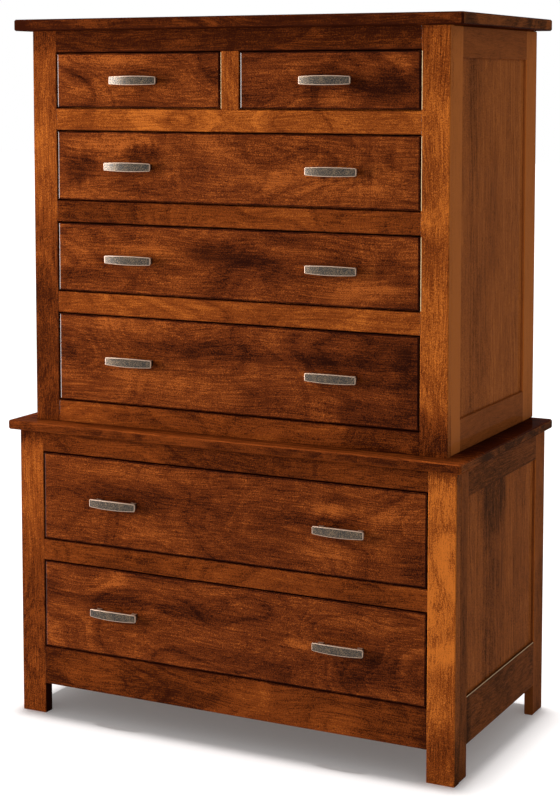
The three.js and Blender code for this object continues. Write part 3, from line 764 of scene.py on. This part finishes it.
class CHEST_OT_face_frames(Operator):
    """Finish the stiles, rails and muntin of both cases"""

    bl_idname = "chest.face_frames"
    bl_label = "Face Frames"

    def execute(self, context):
        for seed, (node, tone) in enumerate(FRAME_TONES.items(), FIRST_SEEDS["frames"]):
            case = node.split("_")[0]
            upright = "stile" in node or "muntin" in node
            stile_low, stile_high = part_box(f"{case}_stile_right")
            inner = stile_high.x - HAIR if upright else FAR
            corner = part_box(node)[0]
            others = [("bare", behind(stile_high.y + HAIR))]
            # Painted highlight: a pale line along the upright's left edge beside these drawers
            others += [("bare", beside(drawer, corner.x, corner.y)) for drawer in PAINTED_EDGE_HIGHLIGHTS.get(node, ())]
            crossings = []
            if "stile" in node:
                side = corner.x if "left" in node else stile_high.x
                outer_side = (side, 0.0, 0.0), (HAIR, FAR, FAR)
                others.append(("umber", outer_side))
                crossings.append(("z", outer_side, STILE_SIDE_TONES[case] - tone))
            dress(
                node, "amber", "z" if upright else "x", FACE_FRONT, seed, tone=tone,
                figure=FRAME_FIGURE + tone, fleck=(STILE_FLECK if upright else 1) + tone / 2, curl=0.1,
                lines=0.04 if upright else 0.08, blotch=0.07 if upright else 0.12,
                ragged="upright" if upright else "level", patches=FRAME_PATCH_SHARES.get(node, ()),
                edge=STILE_EDGE_SHADING.get(node, RAIL_EDGE_SHADE), others=others, crossings=crossings,
                gaps=behind(stile_low.y + FRONT_BEVEL, inner),
            )
        return {"FINISHED"}


# Patches on the side panels and frames, from the front of the chest to its back, in hundredths
SIDE_PANEL_PATCH_SHARES = {
    "upper": ((-55, 85, 30, 50, -12), (10, 10, 30, 45, -12), (-30, -50, 30, 50, -9)),
    "lower": ((-20, 85, 45, 50, -24), (-15, 10, 30, 50, -8), (50, -50, 40, 80, -4)),
}
SIDE_FRAME_PATCH_SHARES = {
    "upper": ((-95, 95, 20, 12, -6), (-95, -60, 20, 50, 9), (95, 95, 20, 12, -5), (95, -85, 20, 25, -8)),
    "lower": ((-95, -90, 20, 200, -20), (95, -90, 20, 200, -12)),
}
SIDE_STAVE_SHARES = {"upper": (-0.7, -0.42, -0.12), "lower": (-0.5, 0.14, -0.1)}
SIDE_PANEL_TONES = {"upper": 0.15, "lower": 0.03}
SIDE_STILE_TONES = {"upper": 0.38, "lower": -0.02}
SIDE_RAIL_TONES = {"upper": -0.42, "lower": -0.21}

# The panel's rear and lower rims in the frame, lightened as painted highlight where the frame's inner edges
# catch the light: tone and half width
REAR_RIM_HIGHLIGHT = 0.4
LOW_RIM_HIGHLIGHT = 0.9
RIM_WIDTH = 0.0013


class CHEST_OT_sides(Operator):
    """Finish the side frames and the panels in them"""

    bl_idname = "chest.sides"
    bl_label = "Sides"

    def execute(self, context):
        for seed, (case, side) in enumerate(product(("lower", "upper"), ("left", "right"))):
            low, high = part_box(f"{case}_side_panel_{side}")
            inner = min(abs(low.x), abs(high.x))
            middle = 0.0, (low.y + high.y) / 2, 0.0
            span = (high.y - low.y) / 2 - PANEL_TONGUE
            rails = middle, (FAR, span, FAR)
            frame_low, frame_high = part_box(f"{case}_side_frame_{side}")
            frame_inner = min(abs(frame_low.x), abs(frame_high.x))
            outer = frame_low.x if side == "left" else frame_high.x
            rise = (high.z - low.z) / 2 - PANEL_TONGUE
            rear_rim_highlight = (outer, middle[1] + span, (low.z + high.z) / 2), (RIM_WIDTH, RIM_WIDTH, rise)
            low_rim_highlight = (outer, middle[1], low.z + PANEL_TONGUE), (RIM_WIDTH, span, RIM_WIDTH)
            low_rim_lift = LOW_RIM_HIGHLIGHT if case == "lower" else 0.0
            hidden = (0.0, 0.0, low.z + FAR), (frame_inner + GROOVE_FLOOR, FAR, FAR)
            # The rims get the amber and bare colours as painted highlight
            others = [("bare", hidden), ("amber", rear_rim_highlight)] + [("bare", low_rim_highlight)] * (case == "lower")
            dress(
                f"{case}_side_frame_{side}", "umber", "z", FLAT_FACE, FIRST_SEEDS["side frames"] + seed,
                tone=SIDE_STILE_TONES[case], figure=0.16, blotch=0.08, curl=0.0, fleck=0.7, lines=0.03,
                crossings=[
                    ("y", rails, SIDE_RAIL_TONES[case]), ("z", rear_rim_highlight, REAR_RIM_HIGHLIGHT),
                    ("y", low_rim_highlight, low_rim_lift),
                ],
                patches=SIDE_FRAME_PATCH_SHARES[case], facing="side", edge=-0.05, edge_gloss=0.05,
                others=others,
            )
            front, back, change = SIDE_STAVE_SHARES[case]
            stave_middle = 0.0, middle[1] + span * (front + back) / 2, 0.0
            stave = stave_middle, (FAR, span * (back - front) / 2, FAR)
            dress(
                f"{case}_side_panel_{side}", "umber", "z", FLAT_FACE, FIRST_SEEDS["side panels"] + seed,
                tone=SIDE_PANEL_TONES[case], figure=0.4, blotch=0.1, curl=0.05, lines=0.07, fleck=1.3,
                stave_spread=0.1,
                facing="side", ragged="upright", patches=SIDE_PANEL_PATCH_SHARES[case],
                others=[("bare", within_sides(inner + HAIR))], crossings=[("z", stave, change)],
            )
        return {"FINISHED"}


# Tone of each top board, and how much its edges, its front and its two ends differ
TOP_BOARD_TONES = {"lower_top_board": (-0.12, 0.04, -0.12, 0.1), "upper_top_board": (-0.33, -0.1, 0.0, 0.1)}
# Patches on the top boards; the dark one at the right end of the lower board is a painted shadow of the upper
# case
TOP_BOARD_PATCH_SHARES = {
    "lower_top_board": ((-100, 0, 14, 900, -8), (98, 35, 16, 130, -34)),
}


class CHEST_OT_top_boards(Operator):
    """Finish the two top boards"""

    bl_idname = "chest.top_boards"
    bl_label = "Top Boards"

    def execute(self, context):
        for seed, (node, tones) in enumerate(TOP_BOARD_TONES.items(), FIRST_SEEDS["top boards"]):
            tone, edge, front_change, end_change = tones
            low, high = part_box(node)
            front = before(low.y + HAIR)
            between_ends = within_sides(high.x - HAIR)
            dress(
                node, "umber", "y", FLAT_FACE, seed, tone=tone + end_change, edge=edge,
                edge_gloss=0.08, blotch=0.12, figure=0.6, fleck=0.7, stave_spread=0.06,
                others=[("amber", between_ends)],
                patches=TOP_BOARD_PATCH_SHARES.get(node, ()), facing="top",
                crossings=[("x", between_ends, -end_change), ("x", front, front_change)],
            )
        return {"FINISHED"}


# Tone of the drawer fronts, their curl where it differs, and patches on them in hundredths
FRONT_TONES = {
    "top_left_drawer": 0.03,
    "top_right_drawer": -0.07,
    "second_drawer": 0.02,
    "third_drawer": -0.03,
    "fourth_drawer": -0.03,
    "fifth_drawer": -0.04,
    "sixth_drawer": -0.03,
}
FRONT_CURLS = {"second_drawer": 0.5}
FRONT_PATCH_SHARES = {
    "top_left_drawer": (
        (-72, 30, 25, 45, -16), (-20, 70, 50, 30, 12), (-35, -35, 50, 35, 10), (88, 20, 25, 40, -16),
        (0, -100, 120, 25, -10),
    ),
    "top_right_drawer": (
        (-50, 50, 50, 40, 14), (75, -40, 65, 75, -22), (-90, -60, 20, 40, -14), (0, -75, 60, 25, 10),
        (70, 65, 35, 30, 14), (97, 30, 10, 50, -12),
    ),
    "second_drawer": (
        (-64, 72, 32, 28, 18), (-86, -10, 12, 50, -22), (-50, 38, 14, 28, -22), (-20, -30, 10, 90, -10),
        (-34, -5, 14, 40, 10), (30, -35, 50, 30, 12), (47, 25, 12, 30, -14), (82, 40, 15, 25, -10),
        (-48, -70, 12, 25, -14),
    ),
    "third_drawer": (
        (-58, 30, 30, 22, 14), (-3, 30, 26, 42, -20), (88, 5, 13, 50, -20), (32, 15, 30, 12, -10),
        (-85, -50, 25, 25, -12), (50, -60, 40, 30, 8), (60, 55, 40, 25, 8), (-90, 30, 14, 40, 8),
    ),
    "fourth_drawer": (
        (-65, 85, 45, 18, 16), (-100, 20, 12, 40, -22), (10, 40, 80, 22, -14), (35, 28, 35, 22, -10),
        (-55, -45, 50, 32, 12), (97, -10, 12, 120, -18), (78, -75, 35, 30, -12), (-30, -5, 10, 14, 8),
    ),
    # On the fifth drawer the two dark patches round the pulls are partly darker stain and partly painted
    # shadow of the pulls
    "fifth_drawer": (
        (-55, 15, 30, 36, -14), (-50, 70, 45, 20, 10), (68, 45, 30, 20, 18), (42, 12, 35, 20, -14),
        (55, -50, 20, 20, 12), (95, -45, 12, 60, -15), (-12, 25, 5, 40, -10), (-65, -55, 40, 25, 5),
    ),
    "sixth_drawer": (
        (-45, 28, 55, 15, -15), (-97, 35, 10, 35, -15), (-30, 72, 60, 20, 8), (75, 60, 30, 30, 12),
        (0, -60, 26, 26, -10), (38, -5, 14, 10, 18), (78, -45, 40, 45, -16),
    ),
}


class CHEST_OT_drawer_fronts(Operator):
    """Finish the seven drawer fronts"""

    bl_idname = "chest.drawer_fronts"
    bl_label = "Drawer Fronts"

    def execute(self, context):
        for seed, drawer in enumerate(DRAWERS, FIRST_SEEDS["fronts"]):
            low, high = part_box(f"{drawer}_front")
            dress(
                f"{drawer}_front", "russet", "x", FACE_FRONT, seed, tone=FRONT_TONES[drawer], blotch=0.16,
                fleck=1.2, curl=FRONT_CURLS.get(drawer, 0.2),
                ragged="upright" if drawer in FRONT_CURLS else "level",
                patches=FRONT_PATCH_SHARES[drawer], others=[("bare", behind(high.y - HAIR))],
                # Painted shade: the walls of the gaps and the bevels beside them are darkened
                gaps=behind(low.y + FRONT_BEVEL), edge=-0.3, edge_gloss=0.45,
            )
        return {"FINISHED"}


class CHEST_OT_inner_parts(Operator):
    """Finish the drawer boxes and bottoms, the middle guide and the back panels"""

    bl_idname = "chest.inner_parts"
    bl_label = "Inner Parts"

    def execute(self, context):
        plain = {"blotch": 0.08, "curl": 0.05, "lines": 0.06, "fleck": 0.5, "edge": None}
        for seed, drawer in enumerate(DRAWERS):
            low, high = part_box(f"{drawer}_box")
            centre = (low + high) / 2
            back = (tuple(centre), ((high.x - low.x) / 2 - DRAWER_SIDE, FAR, FAR))
            box_seed, bottom_seed = FIRST_SEEDS["boxes"] + seed, FIRST_SEEDS["bottoms"] + seed
            dress(f"{drawer}_box", "bare", "y", FLAT_FACE, box_seed, crossings=[("x", back, 0.0)], **plain)
            dress(f"{drawer}_bottom", "bare", "x", FLAT_FACE, bottom_seed, tone=-0.06, **plain)
        dress("upper_middle_guide", "bare", "y", FLAT_FACE, FIRST_SEEDS["guide"], **plain)
        for seed, case in enumerate(("lower", "upper"), FIRST_SEEDS["backs"]):
            inside = before(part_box(f"{case}_back_panel")[1].y - HAIR)
            dress(
                f"{case}_back_panel", "umber", "z", FACE_FRONT, seed, tone=0.06, blotch=0.1, curl=0.0,
                others=[("bare", inside)],
            )
        return {"FINISHED"}


# Pulls


def lattice(cells, seed):
    """A repeatable number between nought and one for each lattice cell, from the broken part of a
    large sine."""
    value = np.sin(cells @ np.array(CELL_WEIGHTS) + seed * SEED_WEIGHT) * SINE_STRETCH
    return value - np.floor(value)


def relief(points, size, seed):
    """Smooth noise on points, from -0.5 to 0.5: the eight corners of each point's cell blended by
    the smooth step of its place in the cell."""
    place = points / size
    cell = np.floor(place)
    inside = place - cell
    inside = inside * inside * (3 - 2 * inside)
    total = np.zeros(points.shape[:-1])
    for corner in np.ndindex(2, 2, 2):
        corner = np.array(corner)
        weight = np.prod(np.where(corner == 1, inside, 1 - inside), axis=-1)
        total += weight * lattice(cell + corner, seed)
    return total - 0.5


def ring_pattern(flat_steps, corner_steps):
    """The run round a rounded rectangle, as three arrays: the place on the inner rectangle in Y and
    Z, from -1 to 1, and the turn of the corner circle. Each flat keeps the turn and slides the
    place, and each corner keeps the place and sweeps the turn by a quarter."""
    quarter = math.pi / 2
    slide = np.linspace(-1, 1, flat_steps, endpoint=False)
    sweep = np.linspace(0, quarter, corner_steps, endpoint=False)
    flat_y, flat_z, turn = [], [], []
    for side in range(4):
        start = side * quarter
        cosine, sine = round(math.cos(start)), round(math.sin(start))
        flat_y += [cosine - sine * slide, np.full(corner_steps, cosine - sine)]
        flat_z += [sine + cosine * slide, np.full(corner_steps, sine + cosine)]
        turn += [np.full(flat_steps, start), start + sweep]
    return np.concatenate(flat_y), np.concatenate(flat_z), np.concatenate(turn)


def skin(rings):
    """Vertices and faces of a closed skin through rings of points, an array of rings, points and
    XYZ, with a pole at the mean of each end ring."""
    count, around, _ = rings.shape
    index = np.arange(count * around).reshape(count, around)
    after = np.roll(index, -1, axis=1)
    quads = np.stack([index[:-1], after[:-1], after[1:], index[1:]], axis=-1).reshape(-1, 4)
    poles = np.stack([rings[0].mean(axis=0), rings[-1].mean(axis=0)])
    first = np.stack([np.full(around, count * around), after[0], index[0]], axis=-1)
    last = np.stack([np.full(around, count * around + 1), index[-1], after[-1]], axis=-1)
    points = np.concatenate([rings.reshape(-1, 3), poles])
    return points, quads.tolist() + first.tolist() + last.tolist()


def bow_at(pull, x):
    """Half the bar's height and how far its face stands out, at places along its length. The bow is
    one less the squared share of the way out from the middle."""
    bow = 1 - (x / (pull.bar_length / 2)) ** 2
    height = (pull.end_height + (pull.middle_height - pull.end_height) * bow) / 2
    return height, pull.end_projection + (pull.projection - pull.end_projection) * bow


def bar_rings(pull):
    """The bowed bar: a rounded rectangle carried along its length. Towards an end its height and its
    rounding fall along a quarter circle, so that the four corners and the end faces are round. Also
    gives the turn round each ring and the distance to the nearest rubbed edge."""
    corner, reach = pull.corner, pull.end_corner
    half = pull.bar_length / 2
    sweep = np.linspace(0, math.pi / 2, END_STEPS)
    end_x = reach * (1 - np.cos(sweep))
    end_share = 1 - np.sin(sweep)
    body = np.linspace(-half + reach, half - reach, BAR_STEPS)[1:-1]
    x = np.concatenate([-half + end_x, body, (half - end_x)[::-1]])
    drawn_in = np.concatenate([end_share, np.zeros_like(body), end_share[::-1]])
    height, front = bow_at(pull, x)
    height = height - reach * drawn_in
    flat_y, flat_z, turn = ring_pattern(*BAR_RING_STEPS)
    radius = (corner * (1 - drawn_in))[:, None]
    y = pull.thickness / 2 - front[:, None] + flat_y * (pull.thickness / 2 - corner) + radius * np.cos(turn)
    z = flat_z * (height - corner)[:, None] + radius * np.sin(turn)
    rings = np.stack([np.broadcast_to(x[:, None], y.shape), y, z], axis=-1)
    side_run = (1 - np.abs(flat_z)) * (height - corner)[:, None]
    end_run = np.maximum(half - np.abs(x) - END_WEAR_SHARE * reach, 0)[:, None]
    return rings, turn, np.minimum(side_run, end_run)


def cast_bar(pull, place, seed):
    """The bar with its cast relief, which fades towards the rubbed edges, as a shell and its bright rims,
    which are partly wear and partly painted highlight, dimmed underneath as painted shade."""
    rings, turn, edge_run = bar_rings(pull)
    outward = np.stack([np.zeros_like(turn), np.cos(turn), np.sin(turn)], axis=-1)
    # Painted shade: the rims are dimmer underneath, where less light falls
    wear_and_sheen = np.exp(-edge_run / WEAR_WIDTH) * (1 - LOW_SHADE_LOSS * np.maximum(-np.sin(turn), 0))
    coarse = relief(rings, pull.pit_size, seed)
    fine = relief(rings, pull.pit_size * FINE_PIT_SHARE, seed + 1)
    depth = pull.pitting * (coarse + FINE_DEPTH_SHARE * fine) * (1 - SMOOTHED_SHARE * wear_and_sheen)
    points, faces = skin(rings + outward * depth[..., None])
    return points + place, faces, np.concatenate([wear_and_sheen.ravel(), [1.0, 1.0]])


def cast_post(pull, place, side):
    """A post: a rounded square carried from the drawer's face to the bar's middle, its half size falling from
    foot to tip with the cube of the way left, so that the foot flares. Its top is painted bright as a painted
    highlight."""
    x = side * pull.post_spacing / 2
    _, front = bow_at(pull, x)
    way = np.linspace(0, 1, POST_STEPS)
    y = -(JOINT_GAP + way * (front - pull.thickness / 2 - JOINT_GAP))
    flare = (1 - way) ** 3
    across = (POST_TIP + (POST_FOOT_WIDTH - POST_TIP) * flare) / 2
    upright = (POST_TIP + (POST_FOOT_HEIGHT - POST_TIP) * flare) / 2
    flat_x, flat_z, turn = ring_pattern(*POST_RING_STEPS)
    corner = pull.corner
    ring_x = x + flat_x * (across - corner)[:, None] + corner * np.cos(turn)
    ring_z = flat_z * (upright - corner)[:, None] + corner * np.sin(turn)
    rings = np.stack([ring_x, np.broadcast_to(y[:, None], ring_x.shape), ring_z], axis=-1)
    points, faces = skin(rings[::-1])
    # Painted highlight on the posts' tops
    wear_and_sheen = np.tile(POST_TOP_HIGHLIGHT * np.maximum(np.sin(turn), 0), len(way))
    return points + place, faces, np.concatenate([wear_and_sheen, [0.0, 0.0]])


def screw(pull, place, side, board_back):
    """A pan-head screw through the drawer front: a profile of radius and depth turned about the
    screw's axis, with a cross sunk into the head as the product of two smooth slots."""
    turn = np.linspace(0, 2 * math.pi, SCREW_STEPS + 1)[:-1]
    dome = np.linspace(math.pi / 2, 0.02, HEAD_STEPS)
    head_y = board_back + SCREW_HEAD * np.cos(dome) ** HEAD_RISE_POWER
    head_radius = pull.screw_radius * np.sin(dome) ** HEAD_WIDTH_POWER
    radius = np.concatenate([[SCREW_SHANK / 4, SCREW_SHANK, SCREW_SHANK], head_radius])
    y = np.concatenate([[-SCREW_REACH, -SCREW_REACH, board_back], head_y])
    ring_x = radius[:, None] * np.cos(turn)
    ring_z = radius[:, None] * np.sin(turn)
    slot = np.minimum(np.abs(ring_x), np.abs(ring_z)) / SLOT_WIDTH
    reach = np.hypot(ring_x, ring_z) / (SLOT_LENGTH_SHARE * pull.screw_radius)
    sunk = SLOT_DEPTH * np.clip(1.5 - slot, 0, 1) * np.clip((1 - reach) * 4, 0, 1)
    ring_y = np.broadcast_to(y[:, None], ring_x.shape) - np.where(y[:, None] > board_back, sunk, 0)
    rings = np.stack([ring_x + side * pull.post_spacing / 2, ring_y, ring_z], axis=-1)
    points, faces = skin(rings[::-1])
    return points + place, faces, np.zeros(len(points))


def joined_mesh(name, shells):
    """One mesh of several closed shells; each has points, faces, wear with painted highlight and shade, and a
    material slot.
    """
    start = 0
    every_point, every_face, every_wear_and_sheen, slots = [], [], [], []
    for points, faces, wear_and_sheen, slot in shells:
        every_point.append(points)
        every_face += [[corner + start for corner in face] for face in faces]
        every_wear_and_sheen.append(wear_and_sheen)
        slots += [slot] * len(faces)
        start += len(points)
    mesh = bpy.data.meshes.new(name)
    mesh.from_pydata(np.concatenate(every_point).tolist(), [], every_face)
    mesh.polygons.foreach_set("material_index", slots)
    mesh.polygons.foreach_set("use_smooth", [True] * len(every_face))
    attribute = mesh.attributes.new("wear_and_sheen", "FLOAT", "POINT")
    attribute.data.foreach_set("value", np.concatenate(every_wear_and_sheen).astype(np.float32))
    mesh.update()
    return mesh


def pewter_material():
    """Cast pewter: dark hollows and a lighter face under lacquer, and bright edges that are partly rubbed
    bare of it and partly painted highlight.
    """
    pull = settings().pull
    material, tree, position = new_material("cast_pewter")
    speckle = noise(tree, position, *SPECKLE_NOISE)
    tarnish = noise(tree, position, *TARNISH_NOISE)
    face = stepped(tree, weighed(tree, tarnish, 0.2, speckle), -0.04, 0.13)
    base = mixed(tree, face, (*pull.pewter_dark, 1), (*pull.pewter_light, 1))
    wear_and_sheen = add(tree, "Attribute", attribute_name="wear_and_sheen").outputs["Fac"]
    # The rims' bright colour is partly wear and partly painted highlight
    rubbed_and_lit = stepped(tree, weighed(tree, speckle, 0.9, wear_and_sheen), 0.3, 0.85)
    base = mixed(tree, rubbed_and_lit, base, (*pull.pewter_rubbed_and_lit, 1))
    bump = add(tree, "Bump", {"Height": speckle, **CAST_BUMP})
    inputs = {
        "Base Color": base,
        "Metallic": weighed(tree, rubbed_and_lit, -0.4, 0.8),
        "Roughness": weighed(tree, rubbed_and_lit, 0.1, 0.3),
        "Normal": bump.outputs[0],
        "Coat Weight": weighed(tree, rubbed_and_lit, -0.5, 0.6),
        "Coat Roughness": 0.26,
    }
    end_in(tree, "BsdfPrincipled", inputs)
    return material


def screw_material():
    """Zinc-plated steel with fine turning marks."""
    material, tree, position = new_material("zinc_screw")
    marks = stepped(tree, noise(tree, position, *TURNING_NOISE), -0.3, 0.3)
    zinc = settings().pull.screw_colour
    base = mixed(tree, marks, tuple(0.7 * level for level in zinc) + (1,), (*zinc, 1))
    roughness = weighed(tree, marks, 0.2, 0.22)
    inputs = {"Base Color": base, "Metallic": 1.0, "Roughness": roughness}
    end_in(tree, "BsdfPrincipled", inputs)
    return material


class CHEST_OT_pulls(Operator):
    """Make the twelve cast pulls and their screws"""

    bl_idname = "chest.pulls"
    bl_label = "Pulls"

    def execute(self, context):
        pull = settings().pull
        finishes = [pewter_material(), screw_material()]
        nodes = sorted(name for name in frame["nodes"] if "_pull" in name)
        for seed, node in enumerate(nodes):
            drawer = node.split("_pull")[0]
            low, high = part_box(node)
            front_low, front_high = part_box(f"{drawer}_front")
            place = np.array([(low.x + high.x) / 2, front_low.y, (low.z + high.z) / 2])
            board_back = front_high.y - front_low.y + JOINT_GAP
            shells = [(*cast_bar(pull, place, SEEDS_PER_PULL * seed), 0)]
            for side in (-1, 1):
                shells.append((*cast_post(pull, place, side), 0))
                shells.append((*screw(pull, place, side, board_back), 1))
            mesh = joined_mesh(f"{node}_casting", shells)
            for finish in finishes:
                mesh.materials.append(finish)
            piece = placed(f"{node}_casting", mesh)
            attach(piece, drawer)
            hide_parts(node)
        return {"FINISHED"}


# Stage


def light(name, kind, power, direction, **values):
    """A lamp that shines from a direction; values are its other settings."""
    lamp = bpy.data.lights.new(name, kind)
    lamp.energy = power
    for key, value in values.items():
        setattr(lamp, key, value)
    thing = placed(name, lamp)
    thing.rotation_euler = Vector(direction).to_track_quat("Z", "Y").to_euler()
    return thing


def soft_lamp(name, power, place, size, tint, lit):
    """A soft rectangular lamp that points at the chest and lights what a collection lets it."""
    direction = Vector(place) - Vector(LAMP_AIM)
    thing = light(
        name, "AREA", power, direction, shape="RECTANGLE", size=size[0], size_y=size[1], color=tint
    )
    thing.location = place
    thing.light_linking.receiver_collection = lit


def shown_rays(tree):
    """One for rays that show the background: camera, mirror and clear ones."""
    path = tree.nodes.new("ShaderNodeLightPath").outputs
    seen = maths(tree, "MAXIMUM", path["Is Camera Ray"], path["Is Glossy Ray"])
    return maths(tree, "MAXIMUM", seen, path["Is Transmission Ray"])


def floor_material(stage):
    """A matt floor that is white and glows a little for the camera and mirrors, so that it keeps
    shadows, and is greyer for the light that it throws back."""
    material, tree, _ = new_material("pale_floor")
    shown = shown_rays(tree)
    tint = mixed(tree, shown, (*stage.bounce_colour, 1), (*stage.floor_colour, 1))
    matt = add(tree, "BsdfDiffuse", {"Color": tint})
    lift = maths(tree, "MULTIPLY", shown, FLOOR_LIFT)
    glow = add(tree, "Emission", {"Color": LIFT_TINT, "Strength": lift})
    end_in(tree, "AddShader", {0: matt.outputs[0], 1: glow.outputs[0]})
    return material


def studio_world(stage):
    """An even grey light from all round, which the camera and mirrors see as white."""
    world = bpy.data.worlds.new("studio")
    world.use_nodes = True
    tree = world.node_tree
    tree.nodes.clear()
    strength = add(tree, "Mix", {0: shown_rays(tree), 2: stage.fill, 3: 1.0}).outputs[0]
    glow = add(tree, "Background", {"Color": (1, 1, 1, 1), "Strength": strength})
    add(tree, "OutputWorld", {"Surface": glow.outputs[0]})
    bpy.context.scene.world = world


class CHEST_OT_stage(Operator):
    """Set up the camera, the lamps, the world and the floor"""

    bl_idname = "chest.stage"
    bl_label = "Studio Stage"

    def execute(self, context):
        scene = context.scene
        stage = settings().stage
        camera = bpy.data.cameras.new("camera")
        camera.lens = stage.lens
        camera.sensor_width = 36
        camera.shift_y = stage.lens_rise
        scene.camera = placed("camera", camera)
        scene.camera.location = stage.camera_place
        scene.camera.rotation_euler = math.pi / 2 - stage.camera_tilt, 0, stage.camera_turn

        scene.view_settings.view_transform = "Standard"
        studio_world(stage)
        half = stage.floor_size / 2
        corners = [(-half, -half, 0), (half, -half, 0), (half, half, 0), (-half, half, 0)]
        mesh = bpy.data.meshes.new("floor")
        mesh.from_pydata(corners, [], [(0, 1, 2, 3)])
        mesh.materials.append(floor_material(stage))
        floor = placed("floor", mesh)

        all_but_floor = bpy.data.collections.new("all but the floor")
        all_but_floor.objects.link(floor)
        all_but_floor.collection_objects[0].light_linking.link_state = "EXCLUDE"
        soft_lamp("left_lamp", stage.key, **LEFT_LAMP, lit=all_but_floor)
        soft_lamp("side_lamp", stage.side, **SIDE_LAMP, lit=all_but_floor)
        light("top_light", "SUN", stage.top, TOP_LIGHT_DIRECTION, angle=TOP_LIGHT_SPREAD)
        return {"FINISHED"}


class ChestSettings(PropertyGroup):
    """All settings of the chest."""

    wood: PointerProperty(type=WoodSettings)
    pull: PointerProperty(type=PullSettings)
    stage: PointerProperty(type=StageSettings)


OPERATORS = (
    CHEST_OT_stage,
    CHEST_OT_face_frames,
    CHEST_OT_sides,
    CHEST_OT_top_boards,
    CHEST_OT_drawer_fronts,
    CHEST_OT_inner_parts,
    CHEST_OT_pulls,
)


class CHEST_PT_panel(Panel):
    """The chest's settings and steps"""

    bl_idname = "CHEST_PT_panel"
    bl_label = "Chest on Chest"
    bl_space_type = "VIEW_3D"
    bl_region_type = "UI"
    bl_category = "Chest"

    def draw(self, context):
        chest = context.scene.chest
        for group in (chest.wood, chest.pull, chest.stage):
            box = self.layout.box()
            for key in group.__annotations__:
                box.prop(group, key)
        for operator in OPERATORS:
            self.layout.operator(operator.bl_idname)


CLASSES = (WoodSettings, PullSettings, StageSettings, ChestSettings, *OPERATORS, CHEST_PT_panel)


def register():
    """Registers the classes and the scene's settings."""
    for item in CLASSES:
        bpy.utils.register_class(item)
    bpy.types.Scene.chest = PointerProperty(type=ChestSettings)


def unregister():
    """Takes the scene's settings and the classes away again."""
    del bpy.types.Scene.chest
    for item in reversed(CLASSES):
        bpy.utils.unregister_class(item)


def main():
    """Builds the stage and the finishes."""
    register()
    for operator in OPERATORS:
        group, name = operator.bl_idname.split(".")
        getattr(getattr(bpy.ops, group), name)()


if __name__ == "__main__":
    main()
